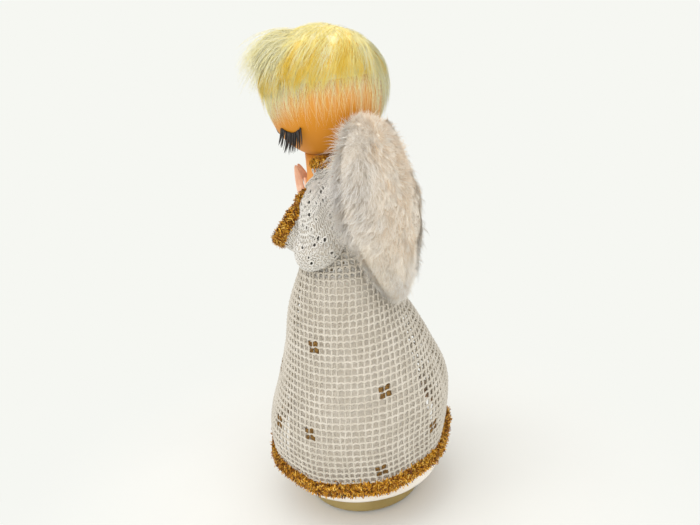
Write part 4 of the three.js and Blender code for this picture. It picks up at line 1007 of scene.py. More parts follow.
lace_cotton = Finish("lace_cotton", Roughness=0.8, Sheen_Weight=0.25)
lace_cotton.shades(lace_cotton.noise(180.0), (218, 213, 204), (230, 227, 220))
lace_cotton.bump(lace_cotton.noise(2600.0), 0.15, 0.7)
# The ground cloth under the threads is the same white cotton, coloured darker than the threads as
# painted shade in the holes of the lattice.
lace_ground_painted_shade = Finish("lace_ground_painted_shade", Roughness=0.85, Sheen_Weight=0.2)
ground_cloud = lace_ground_painted_shade.noise(260.0, 2.0)
lace_ground_painted_shade.shades(ground_cloud, (180, 171, 157), (204, 198, 187), low=0.35, high=0.65)
lace_ground_painted_shade.bump(lace_ground_painted_shade.noise(1500.0, 2.0), 0.2, 0.6)

bodice_z = np.linspace(BODICE_TOP_Z, BODICE_FOOT_Z, BODICE_ROWS)[:, None]
bodice_r = skin_r(bodice_z) + BODICE_OUT
neck_w = NECKLINE_HALF_W * np.clip((bodice_z - NECKLINE_Z) / (NECKLINE_TOP_Z - NECKLINE_Z), 0, 1)
neck_angle = np.arcsin(np.clip(neck_w / bodice_r, 0, 1))
bodice_share = np.linspace(0, 1, BODICE_COLUMNS)[None, :]
bodice_turn = neck_angle + bodice_share * (2 * np.pi - 2 * neck_angle)
bodice_table = polar(bodice_turn, bodice_r, bodice_z)
bodice_table[..., 1] += lean_y(bodice_z)
bodice_dice = np.random.default_rng(41)
bodice_lace = lace("bodice_lace", bodice_table, False, BODICE_EYELETS, bodice_dice)
bodice, bodice_stitches, bodice_area = bodice_lace
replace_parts(bodice, "bodice")


# Lace sleeves
# Wide bell sleeves of the same lace, set in at the shoulder and hanging flat beside the body.
# A rolled seam runs along the lower edge, and the slanting mouth is open towards the hands.
SLEEVE_INNER = [[-4, 15], [-8, 13], [-12, 8.5]]
SLEEVE_OUTER = [[9, 12], [9, -4], [3, -19], [-14, -25.5], [-35, -14]]
SLEEVE_INSET = 0.25
SLEEVE_EYELETS = 0.22
SLEEVE_ROWS = 100
SLEEVE_COLUMNS = 150
SLEEVE_SEAM_R = 0.5
SLEEVE_SEAM_ROWS = 40
NET_TOP_Z = WAIST_Z + NET_TOP_ROWS * NET_SIDE / NET_ROWS


def beside_body(y, z):
    """How far out the bodice, or the net on it, reaches beside a point, and past the hands."""
    z = np.minimum(z, BODICE_TOP_Z)
    net_out = 2.0 * (1 - smooth_step(NET_TOP_Z, NET_TOP_Z + 4, z))
    reach = (skin_r(z) + BODICE_OUT + 0.6 + net_out) ** 2 - (y - lean_y(z)) ** 2
    return np.maximum(2.6, np.sqrt(np.maximum(0, reach)))


def sleeve_table(side, rows, columns):
    """Sleeve points: across from the inner to the outer rail, swelling away from the body."""
    t = np.linspace(0, 1, rows)[:, None]
    turn = angles(columns)[None, :]
    share = (0.5 - np.cos(turn) / 2)[..., None]
    flat = rail(SLEEVE_INNER)(t) * (1 - share) + rail(SLEEVE_OUTER)(t) * share
    y = flat[..., 0]
    z = flat[..., 1] + CONE_TOP_Z
    swell = 2.5 * (1 - t) ** 2 + 27 * t * (1 - t) + 9.5 * t**2
    puff = np.maximum(0, np.sin(turn))
    folds = 0.35 * t * np.sin(9 * turn + 2.2 * t) * puff
    x = beside_body(y, z) + SLEEVE_INSET + (swell - 2 * SLEEVE_INSET) * puff + folds
    return np.stack([side * x, y, z], -1)


def sleeve(name, side, dice):
    """One sleeve: lace over its table, and a seam cord along the outer rail."""
    table = sleeve_table(side, SLEEVE_ROWS, SLEEVE_COLUMNS)
    if side < 0:
        table = table[:, ::-1]
    cloth, stitches, area = lace(name, table, True, SLEEVE_EYELETS, dice)
    seam_path = sleeve_table(side, SLEEVE_SEAM_ROWS, SLEEVE_COLUMNS)[:, SLEEVE_COLUMNS // 2]
    seam = piece(name + "_seam", *tubes(seam_path[None], SLEEVE_SEAM_R, 6), lace_cotton, "lace")
    return cloth


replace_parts(sleeve("sleeve_left_lace", 1, np.random.default_rng(51)), "sleeve_left")
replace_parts(sleeve("sleeve_right_lace", -1, np.random.default_rng(52)), "sleeve_right")


# Hands and arms
# Two small moulded hands of pinkish plastic, laid together in prayer with upright fingers.
# Each is stuck on the end of a wire arm that runs through the sleeve to the body.
HAND_L = 19.0
HAND_HALF_W = 1.8
HAND_HALF_T = 1.2
HAND_WIDTHS = [[0.62], [0.78], [1.0], [0.98], [0.86], [0.6]]
HAND_TIP = np.array([0, -18.9, 169.4])
HAND_TIP_GAP = 0.4
HAND_SPREAD = math.radians(22)
HAND_TILT = math.radians(13)
HAND_STEPS = 44
THUMB_R = 0.95
THUMB_L = 8.2
THUMB_STEPS = 14
THUMB_SIDES = 12

hand_plastic = Finish("pink_hand_plastic", Roughness=0.42, Specular_IOR_Level=0.4)
hand_plastic.shades(hand_plastic.noise(240.0), (228, 176, 146), (240, 200, 170))
hand_plastic.bump(hand_plastic.noise(900.0, 2.0), 0.04, 0.4)


def hand_place(drawn, side):
    """Turns a drawn hand upright beside the other: palm to palm, tips together, wrists apart."""
    y, z = turned(drawn[..., 0], drawn[..., 1], HAND_TILT)
    x, z = turned(drawn[..., 2] + HAND_TIP_GAP + HAND_HALF_T, z, HAND_SPREAD)
    return np.stack([side * x, y, z], -1) + HAND_TIP


def hand(name, side):
    """A flat pillow: width and thickness change along it, with grooves between four fingers."""
    u = np.linspace(-1, 1, HAND_STEPS)[None, :]
    v = np.linspace(0, 1, HAND_STEPS)[:, None]
    width = HAND_HALF_W * rail(HAND_WIDTHS)(v[:, 0])
    fingers = smooth_step(0.42, 0.55, v)
    between = np.cos(2 * np.pi * (2 * u + 0.5))
    groove = fingers * 0.4 * between**8
    tips = 1 - 0.1 * (u + 0.25) ** 2 * v - 0.05 * fingers * between**4
    edge = np.sqrt(np.clip(1 - u**4, 0, 1)) * np.sqrt(np.clip(1 - (2 * v - 1) ** 12, 0, 1))
    half = HAND_HALF_T * edge * (1 - groove) * (1 - 0.25 * v)
    along = -HAND_L + HAND_L * v * tips
    front = np.stack([width * u, along, half], -1).reshape(-1, 3)
    back = front * np.array([1, 1, -1])
    faces = grid_faces(HAND_STEPS, HAND_STEPS, joined_columns=False)
    pillow = (np.concatenate([front, back]), [faces, faces[:, ::-1] + HAND_STEPS**2])
    thumb_s = np.linspace(0, 1, THUMB_STEPS)
    thumb_x = 1.5 + 1.6 * np.sin(2.2 * thumb_s)
    thumb_y = -HAND_L + 4 + THUMB_L * thumb_s
    thumb_path = np.stack([thumb_x, thumb_y, 0.15 - 0.3 * thumb_s], -1)
    thumb_round = np.sqrt(np.clip(1 - (2 * thumb_s - 1) ** 6, 0.02, 1))
    thumb_r = THUMB_R * thumb_round * (1 - 0.25 * thumb_s)
    points, all_faces = joined_meshes(pillow, tubes(thumb_path[None], thumb_r, THUMB_SIDES))
    if side < 0:
        all_faces = [f[:, ::-1] for f in all_faces]
    made = piece(name, hand_place(points, side), all_faces, hand_plastic, "hand_plastic")
    weld(made)
    return made


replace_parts(hand("hand_left_moulding", 1), "hand_left")
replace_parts(hand("hand_right_moulding", -1), "hand_right")
refinish(steel, "arm_left", "arm_right")


# Collar and cuff tinsel
# The same foil cord sewn round the neck, open at the front over the V of the bodice.
# A flat band of it is sewn along the slanting mouth of each sleeve.
COLLAR_R = 2.4
COLLAR_RING = 12.8
COLLAR_OPEN = math.radians(76)
COLLAR_STEPS = 260
COLLAR_FOIL = (2.1, 2.1)
COLLAR_CORE = (1.5, 1.5)
CUFF_W = 6.0
CUFF_FROM = 6
CUFF_TO = 121
CUFF_ARC = 1.7
CUFF_OUT = 0.35
CUFF_FOIL = (1.5, CUFF_W / 2)
CUFF_CORE = (0.9, CUFF_W * 0.42)
CUFF_TABLE = (60, 240)
CUFF_ROW = 55
CUFF_ROW_BEFORE = 50

collar_turn = np.linspace(COLLAR_OPEN, 2 * np.pi - COLLAR_OPEN, COLLAR_STEPS)
collar_path = polar(collar_turn, COLLAR_RING, BODICE_TOP_Z + COLLAR_R + SEAT)
collar_path[:, 1] += LEAN_Y
collar_out = polar(collar_turn, 1.0, 0.0)
collar_up = np.tile([0.0, 0.0, 1.0], (COLLAR_STEPS, 1))
collar_dice = np.random.default_rng(61)
collar = tinsel("collar_tinsel", collar_path, collar_out, collar_up, COLLAR_FOIL, np.pi, collar_dice)
tinsel_core("collar_tinsel_core", collar_path[::4], collar_out[::4], collar_up[::4], COLLAR_CORE)
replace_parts(collar, "collar_trim")


def cuff(name, side, dice):
    """The band at a sleeve's mouth: a path across its outer side, from the hands to the lower edge."""
    table = sleeve_table(side, *CUFF_TABLE)[:, CUFF_FROM:CUFF_TO]
    path = table[CUFF_ROW]
    across = unit(table[-1] - table[CUFF_ROW_BEFORE])
    run = unit(np.gradient(path, axis=0))
    out = unit(np.cross(across, run))
    out = out * np.sign((out * np.array([side, 0, 0])).sum(-1, keepdims=True) + 1e-9)
    path = path + out * CUFF_OUT
    made = tinsel(name, path, out, across, CUFF_FOIL, CUFF_ARC, dice)
    tinsel_core(name + "_core", path[::3], out[::3], across[::3], CUFF_CORE)
    return made


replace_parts(cuff("cuff_left_tinsel", 1, np.random.default_rng(63)), "cuff_trim_left")
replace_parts(cuff("cuff_right_tinsel", -1, np.random.default_rng(64)), "cuff_trim_right")


# Wig
# Pale yellow fur cut to a cap and glued on the head, combed outwards from the crown.
# A thick tuft stands forward over the brow, and a thin veil of hairs falls all round.
HAIR_EDGE = 5.5
HAIR_EDGE_RISE = 1.5
CROWN = np.array([0, 0.35, 0.937])
WIG_T = 3.0
WIG_LOCKS = 800
PALE_LOCKS = WIG_LOCKS // 14
PALE_TINT = 0.85
SOFT_SHARE = 0.65
GOLD_BAND_Z = 15.0
GOLD_BAND_W = 4.5
CAP_TRIES = 40000
CAP_HAIRS = 7000
CAP_STEPS = 5
CAP_MARGIN = 2.0
FULL_OVER = 14.0
WIG_HIDE_T = 0.3
WIG_HIDE_SUNK = 0.8
WIG_ROWS = 80
WIG_COLUMNS = 240
FRONT_STEPS = 7
TUFT_HAIRS = 3200
TUFT_LOCKS = 90
TUFT_REACH = 4.6
TUFT_REACH_MOST = 15.0
TUFT_SPREAD = 1.12
TUFT_ROOT_Z = 219.0
TUFT_BEND_Y = -22.5
TUFT_BEND_Z = 226.5
TUFT_TIP_Y = -27.0
TUFT_TIP_Z = 214.5
VEIL_THIRD = 540
VEIL_BEND_Z = 8.0


def needles(paths, radius):
    """Hairs: three-sided tubes round their paths that thin out and end in a point."""
    count, steps = paths.shape[:2]
    s = np.linspace(0, 1, steps)
    thick = radius[:, None] * (1 - 0.75 * s[None, :-1] ** 2)
    rings, (walls, caps) = tubes(paths[:, :-1], thick, 3)
    points = np.concatenate([rings.reshape(count, -1, 3), paths[:, -1:]], 1)
    per_hair = 3 * (steps - 1)
    hair = np.arange(count)
    last = np.arange(3) + per_hair - 3
    tip = np.stack([last, np.roll(last, -1), np.full(3, per_hair)], -1)
    tips = (tip[None] + (hair * (per_hair + 1))[:, None, None]).reshape(-1, 3)
    roots = caps[::2]
    along = np.tile(np.append(np.repeat(s[:-1], 3), 1), count)
    side = np.tile(np.append(np.tile([-1, 0, 1], steps - 1), 0), count)
    faces = [walls + walls // per_hair, roots + roots // per_hair, tips]
    return points.reshape(-1, 3), faces, along, side


def fur(name, paths, radius, tint, facing, finish, slot):
    """A piece of fur from the paths, thicknesses and tints of its hairs, shaded in part by the way
    that the hide under each hair faces."""
    points, faces, along, side = needles(paths, radius)
    per_hair = len(points) // len(paths)
    tint = np.repeat(np.clip(tint, 0, 1), per_hair)
    uv = palette_uv(tint, along, side)
    made = piece(name, points, faces, finish, slot, uv=uv, tint=tint, along=along)
    own = np.empty(3 * len(points), np.float32)
    made.data.vertex_normals.foreach_get("vector", own)
    hide_way = np.repeat(facing, per_hair, 0)
    soft = unit((1 - SOFT_SHARE) * own.reshape(-1, 3) + SOFT_SHARE * hide_way)
    made.data.normals_split_custom_set_from_vertices(soft.tolist())


def fur_halves(name, paths, radius, tint, facing, finish, slot):
    """Fur in two pieces, every second hair in each, so that both stay light."""
    for start in range(2):
        half = slice(start, None, 2)
        fur(f"{name}_{start + 1}", paths[half], radius[half], tint[half], facing[half], finish, slot)


def pile(name, roughness, gloss, root, *stops):
    """The finish of a fur: coloured by the tint of each hair, and darkened towards the root by painted
    shade.
    """
    made = Finish(name, Roughness=roughness, Specular_IOR_Level=gloss)
    # Towards the root each hair is multiplied by a darker tone: painted shade deep in the pile.
    painted_root_shade = made.ramp(made.value("along"), (0.0, root), (0.5, (255, 255, 255)))
    made.drive(Base_Color=made.multiply(1.0, made.by_tint(*stops), painted_root_shade))
    return made


blond_stops = [(0.0, (248, 204, 60)), (0.4, (255, 238, 144)), (0.75, (255, 250, 204))]
blond_stops += [(1.0, (255, 253, 242))]
blond = pile("pale_yellow_fur", 0.6, 0.3, (247, 238, 216), *blond_stops)

wig_dice = np.random.default_rng(71)


def ball_points(count, dice):
    """Directions spread evenly over a ball."""
    return unit(dice.normal(0, 1, (count, 3)))


def over_edge(points):
    """How high points lie over the sloping edge of the hair, measured along the head's axis."""
    away = points - HEAD_AT
    return away[..., 2] - HAIR_EDGE - HAIR_EDGE_RISE * away[..., 1] / HEAD_R


def clear_of_head(points, gap):
    """Moves points that lie inside the ball of the head out to its surface and a gap more."""
    away = points - HEAD_AT
    far = np.linalg.norm(away, axis=-1, keepdims=True)
    return HEAD_AT + away / far * np.maximum(far, HEAD_R + gap)


cap_root = ball_points(CAP_TRIES, wig_dice)
cap_root = cap_root[over_edge(HEAD_AT + cap_root * HEAD_R) > CAP_MARGIN][:CAP_HAIRS]
cap_hairs = len(cap_root)
comb_way = unit(cap_root * (cap_root @ CROWN)[:, None] - CROWN)
at_crown = (cap_root @ CROWN > 0.95)[:, None]
comb_way = unit(comb_way + wig_dice.normal(0, 0.5, (cap_hairs, 3)) * at_crown)
guide = ball_points(WIG_LOCKS, wig_dice)
nearest = np.argmax(cap_root @ guide.T, axis=1)
guide_swerve = wig_dice.normal(0, 0.2, WIG_LOCKS)[nearest]
swerve = guide_swerve + wig_dice.normal(0, 0.1, cap_hairs)
sideways = np.cross(cap_root, comb_way)
comb_way = unit(comb_way + sideways * swerve[:, None])
lock_pull = guide[nearest] - cap_root * (cap_root * guide[nearest]).sum(-1, keepdims=True)
cap_s = np.linspace(0, 1, CAP_STEPS)[None, :, None]
hair_l = wig_dice.uniform(11, 21, cap_hairs)[:, None, None]
depth = np.clip((over_edge(HEAD_AT + cap_root * HEAD_R) + 1) / FULL_OVER, 0.3, 1)
layer = (wig_dice.uniform(WIG_T - 1.6, WIG_T, cap_hairs) * depth)[:, None, None]


def combed(length):
    """Hairs laid on the ball from their roots the way they are combed, rising to their layer."""
    sweep = length * cap_s / HEAD_R
    course = cap_root[:, None] * np.cos(sweep) + comb_way[:, None] * np.sin(sweep)
    course = unit(course + 0.6 * lock_pull[:, None] * cap_s)
    rise = layer * np.sqrt(np.clip(cap_s * 2.5, 0, 1))
    return HEAD_AT + course * (HEAD_R + 0.3 + rise + 0.5 * cap_s**2)


hang = 1.0 - np.minimum(wig_dice.exponential(2.8, cap_hairs), 14)
height = over_edge(combed(hair_l)) - hang[:, None]
step = np.maximum((height < 0).argmax(1), 1)
before = np.take_along_axis(height, step[:, None] - 1, 1)[:, 0]
after = np.take_along_axis(height, step[:, None], 1)[:, 0]
passed = np.clip(before / np.maximum(before - after, 0.01), 0.1, 1)
crossing = (step - 1 + passed) / (CAP_STEPS - 1)
cut_at = np.where((height < 0).any(1), crossing, 1.0)
cap_paths = with_head(combed(hair_l * cut_at[:, None, None]))
cap_thick = wig_dice.uniform(0.04, 0.08, cap_hairs)
lock_tint = np.clip(wig_dice.normal(0.5, 0.16, WIG_LOCKS), 0, 1)
lock_tint[:PALE_LOCKS] = PALE_TINT


def lock_tints(directions):
    """The tint of the lock that a direction from the head's middle falls in: golden in a band, and paler
    at the back, where the paleness is painted light."""
    band = np.exp(-(((directions[:, 2] * HEAD_R - GOLD_BAND_Z) / GOLD_BAND_W) ** 2))
    near_crown = smooth_step(0.85, 0.97, directions @ CROWN)
    of_lock = lock_tint[np.argmax(directions @ guide.T, axis=1)]
    painted_back_light = 0.4 * smooth_step(0.3, 0.8, directions[:, 1])
    return of_lock * (1 - near_crown) + 0.5 * near_crown - 0.5 * band + painted_back_light


# The cap hairs take their tints from lock_tints, so they carry its painted light at the back.
cap_tint = lock_tints(cap_root) + wig_dice.normal(0, 0.1, cap_hairs)
cap_facing = unit(cap_paths[:, 2] - HEAD_AT)
fur_halves("wig_crown_hair", cap_paths, cap_thick, cap_tint, cap_facing, blond, "blond_fur")

cap_angle = angles(WIG_COLUMNS)[None, :]
cap_limit = math.pi / 2 - (HAIR_EDGE + 1 - HAIR_EDGE_RISE * np.cos(cap_angle)) / HEAD_R
cap_tilt = np.linspace(0.012, 1, WIG_ROWS)[:, None] * cap_limit
cap_way = polar(cap_angle, np.sin(cap_tilt), np.cos(cap_tilt))
cap_over = over_edge(HEAD_AT + cap_way * HEAD_R)
# The hide's streak tints also carry the painted light at the back from lock_tints.
cap_streak = lock_tints(cap_way.reshape(-1, 3)).reshape(cap_over.shape)
cap_streak = cap_streak + wig_dice.normal(0, 0.12, (1, WIG_COLUMNS))
cap_full = np.clip((cap_over + 1) / FULL_OVER, 0.12, 1)
cap_rise = (WIG_T - WIG_HIDE_SUNK) * cap_full + 0.5 * (cap_streak - 0.5)
cap_points = with_head(HEAD_AT + cap_way * (HEAD_R + np.maximum(cap_rise, 0.3))[..., None])
cap_top = HEAD_AT + [0, 0, HEAD_R + WIG_T - WIG_HIDE_SUNK]
wig_points = np.concatenate([cap_points.reshape(-1, 3), [cap_top]])
wig_faces = [faces[:, ::-1] for faces in closed_grid(WIG_ROWS, WIG_COLUMNS)[:2]]
wig_hide = Finish("golden_fur_hide", Roughness=0.75, Sheen_Weight=0.15)
hide_stops = [(0.0, (242, 196, 64)), (0.4, (253, 234, 142)), (0.75, (255, 246, 196))]
hide_stops += [(1.0, (255, 251, 234))]
hide_grain = wig_hide.noise(1500.0)
grain_tone = (*tone(250, 240, 214), 1)
wig_hide.drive(Base_Color=wig_hide.multiply(hide_grain, wig_hide.by_tint(*hide_stops), grain_tone))
wig_hide.bump(hide_grain, 0.35)
wig_tint = np.append(cap_streak.ravel(), 0.5)
wig_cap = piece("wig_hide", wig_points, wig_faces, wig_hide, "blond_fur", tint=wig_tint)
thicken(wig_cap, WIG_HIDE_T)
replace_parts(wig_cap, "wig")


def bend(start, middle, end):
    """Hairs along quadratic curves from a root over a middle point to a tip."""
    s = np.linspace(0, 1, FRONT_STEPS)[None, :, None]
    return start[:, None] * (1 - s) ** 2 + middle[:, None] * 2 * s * (1 - s) + end[:, None] * s**2


def on_ball(azimuth, rise, radius):
    """A point of a ball round the head's middle, by angles round from the front and up from level."""
    return polar(azimuth, radius * np.cos(rise), radius * np.sin(rise)) + HEAD_AT


tuft_azimuth = wig_dice.normal(0, 0.62, TUFT_HAIRS)
tuft_rise = wig_dice.uniform(0.3, 1.5, TUFT_HAIRS)
tuft_root = on_ball(tuft_azimuth, tuft_rise, HEAD_R)
lock_number = wig_dice.integers(0, TUFT_LOCKS, TUFT_HAIRS)
shift_x, shift_y, shift_z = wig_dice.normal(0, 1, (TUFT_LOCKS, 3))[lock_number].T
lock_reach = np.minimum(wig_dice.exponential(TUFT_REACH, TUFT_LOCKS), TUFT_REACH_MOST)[lock_number]
lock_reach = lock_reach * wig_dice.uniform(0.5, 1, TUFT_HAIRS)
spread_x = tuft_root[:, 0] * TUFT_SPREAD
tuft_low = 0.42 * (tuft_root[:, 2] - TUFT_ROOT_Z)
bend_y = TUFT_BEND_Y - 0.4 * lock_reach + 0.8 * shift_y + wig_dice.normal(0, 0.8, TUFT_HAIRS)
bend_z = TUFT_BEND_Z + tuft_low - 0.014 * spread_x**2 + shift_z
bend_z = bend_z + wig_dice.normal(0, 0.6, TUFT_HAIRS)
tip_x = spread_x * 1.1 + 2.0 * shift_x + wig_dice.normal(0, 0.5, TUFT_HAIRS)
tip_y = TUFT_TIP_Y - lock_reach + 0.02 * spread_x**2 + 0.8 * shift_y
tip_y = tip_y + wig_dice.normal(0, 0.6, TUFT_HAIRS)
tip_z = TUFT_TIP_Z - 0.42 * lock_reach + 1.5 * tuft_low - 0.012 * spread_x**2 + 3.2 * shift_z
tip_z = tip_z + wig_dice.normal(0, 0.5, TUFT_HAIRS)
laid = smooth_step(0.35, 1.0, np.abs(tuft_azimuth))[:, None]
low_rise = np.maximum(tuft_rise - 0.55, wig_dice.uniform(-0.02, 0.2, TUFT_HAIRS))
half_down = on_ball(tuft_azimuth, tuft_rise - 0.25, HEAD_R + 2.2)
far_down = on_ball(tuft_azimuth, low_rise, HEAD_R + 0.9)
tuft_middle = np.stack([spread_x + shift_x, bend_y, bend_z], -1) * (1 - laid) + half_down * laid
tuft_tip = np.stack([tip_x, tip_y, tip_z], -1) * (1 - laid) + far_down * laid
tuft_paths = clear_of_head(bend(tuft_root, tuft_middle, tuft_tip), 0.5)

veil_hairs = 3 * VEIL_THIRD
veil_all_round = wig_dice.uniform(-np.pi, np.pi, VEIL_THIRD)
veil_front = wig_dice.normal(0.25, 0.32, VEIL_THIRD)
veil_back = wig_dice.normal(2.9, 0.5, VEIL_THIRD)
veil_azimuth = np.concatenate([veil_all_round, veil_front, veil_back])
veil_root = on_ball(veil_azimuth, wig_dice.uniform(0.2, 0.7, veil_hairs), HEAD_R)
veil_fall = wig_dice.uniform(0.0, 0.5, veil_hairs) * (1.3 - 0.3 * np.cos(veil_azimuth))
veil_out = wig_dice.uniform(0.2, 0.6, veil_hairs) * (3 - 2 * np.cos(veil_azimuth))
veil_tip_turn = veil_azimuth + wig_dice.normal(0, 0.12, veil_hairs)
veil_tip_r = (HEAD_R + veil_out) * np.cos(veil_fall)
veil_tip = polar(veil_tip_turn, veil_tip_r, -HEAD_R * np.sin(veil_fall)) + HEAD_AT
veil_middle = polar(veil_azimuth, HEAD_R + 1.0 + veil_out, VEIL_BEND_Z) + HEAD_AT
veil_paths = clear_of_head(bend(veil_root, veil_middle, veil_tip), 0.35)
front_paths = with_head(np.concatenate([tuft_paths, veil_paths]))
tuft_thick = wig_dice.uniform(0.05, 0.09, TUFT_HAIRS)
front_thick = np.append(tuft_thick, wig_dice.uniform(0.03, 0.07, veil_hairs))
front_tint = np.repeat([0.66, 0.72], [TUFT_HAIRS, veil_hairs])
front_tint = front_tint + wig_dice.normal(0, 0.12, len(front_tint))
front_facing = unit(front_paths[:, 3] - HEAD_AT + np.array([0, 0, HEAD_R / 2]))
fur("wig_front_hair", front_paths, front_thick, front_tint, front_facing, blond, "blond_fur")


# Wings
# Two padded lobes of cream-white fur on hide, sewn shut at the rim and stuffed.
# A web of card between them glues them to the back of the bodice.
WING_OUTLINE = [(0.5, -34.5), (4.95, -42), (13.05, -45.5), (30.15, -22.75), (43.2, 0), (45, 21.6)]
WING_OUTLINE += [(36.9, 39), (26.1, 45), (13.95, 43), (4.95, 34), (0.5, 24)]
WING_MIDDLE = np.array([22.5, -0.25])
WING_Y = 28.0
WING_LEAN = math.radians(1.5)
WING_SWEEP = math.radians(17)
WING_SPINE_LOW = np.array([15.0, -30.0])
WING_SPINE_HIGH = np.array([24.0, 30.0])
HIDE_SHARE = 0.89
HIDE_HALF_T = 6.0
HIDE_BACK_T = 13.0
WING_HAIRS = 24000
RIM_SHARE = 0.4
WILD_SHARE = 0.3
WING_LOCKS = 300
WING_RINGS = 26
WING_ROUND = 110
WING_STEPS = 3
WING_HAIR_L = (2.8, 5.0)
WING_HAIR_R = (0.045, 0.085)
BODY_CLEAR = 0.8
FACING_MOST = np.array([1, 1, 0.25])
FACING_SHARE = np.array([0.35, 1, 1])
FACING_LEAN = np.array([0.2, 0.2, 0])

outline_line = np.array(WING_OUTLINE, float)
closed_line = np.concatenate([outline_line[-1:], outline_line, outline_line[:2]])
outline_rail = rail(closed_line)


def wing_rim(share):
    """A point of the wing's closed outline, from 0 to 1 round it."""
    count = len(WING_OUTLINE)
    return outline_rail((1 + share * count) / (len(closed_line) - 1))


def behind_shoulders(drawn, side):
    """Places points drawn flat as (across, height, depth) behind the shoulders: leant back, and
    swept forward to the tip."""
    y, z = turned(-drawn[..., 2], drawn[..., 1], WING_LEAN)
    y, x = turned(y, drawn[..., 0], WING_SWEEP)
    return np.stack([side * x, y + WING_Y, z + CONE_TOP_Z], -1)


def inside_figure(points):
    """Whether points lie inside the net skirt, the dressed body or the head with its hair."""
    z = points[..., 2]
    turn = np.arctan2(points[..., 0], -points[..., 1])
    back = 0.5 - np.cos(turn) / 2
    net_share = np.clip((WAIST_Z - z) / (WAIST_Z - NET_HEM_Z), 0, 1)
    front_r = np.interp(net_share, net_front[:, 0], net_front[:, 1])
    back_r = np.interp(net_share, net_back[:, 0], net_back[:, 1])
    skirt_r = front_r * (1 - back) + back_r * back + BODY_CLEAR
    chest_r = skin_r(np.minimum(z, BODICE_TOP_Z)) + BODICE_OUT + BODY_CLEAR
    body_r = np.where(z < WAIST_Z, skirt_r, np.where(z < BODICE_TOP_Z + 5, chest_r, 0))
    in_body = np.hypot(points[..., 0], points[..., 1] - lean_y(z)) < body_r
    in_head = np.linalg.norm(points - HEAD_AT, axis=-1) < HEAD_R + WIG_T + 0.5
    return in_body | in_head


# The fur runs from tan at tint 0 to near white; the tan end serves as painted shade in the middle of the
# wings.
white_stops = [(0.0, (238, 212, 180)), (0.5, (250, 241, 227)), (1.0, (255, 252, 247))]
white_fur = pile("cream_white_fur", 0.8, 0.2, (236, 224, 206), *white_stops)
wing_hide = Finish("cream_fur_hide", Roughness=0.9)
wing_hide_grain = 0.5 * wing_hide.noise(900.0, 4.0) + 0.5 * wing_hide.noise(110.0, 2.0)
wing_hide.shades(wing_hide_grain, (236, 225, 209), (246, 237, 223))
wing_hide.bump(wing_hide_grain, 0.4)


def lowered(flat, droop):
    """Points of a wing with its top sunk by the droop of its padding."""
    return flat - np.array([0, droop]) * smooth_step(0, 45, flat[..., 1:])


def plump(flat, reach, face, taper):
    """Half a wing's thickness: a bow to the rim with soft lumps, and thinner behind its top."""
    lumps = 1 + 0.1 * np.sin(0.34 * flat[..., 0] + 1) * np.cos(0.26 * flat[..., 1])
    back = HIDE_BACK_T * (1.1 - 0.3 * taper) * (1 - taper * smooth_step(-5, 36, flat[..., 1]))
    return np.where(face > 0, HIDE_HALF_T, back) * np.sqrt(np.clip(1 - reach**2, 0, 1)) * lumps


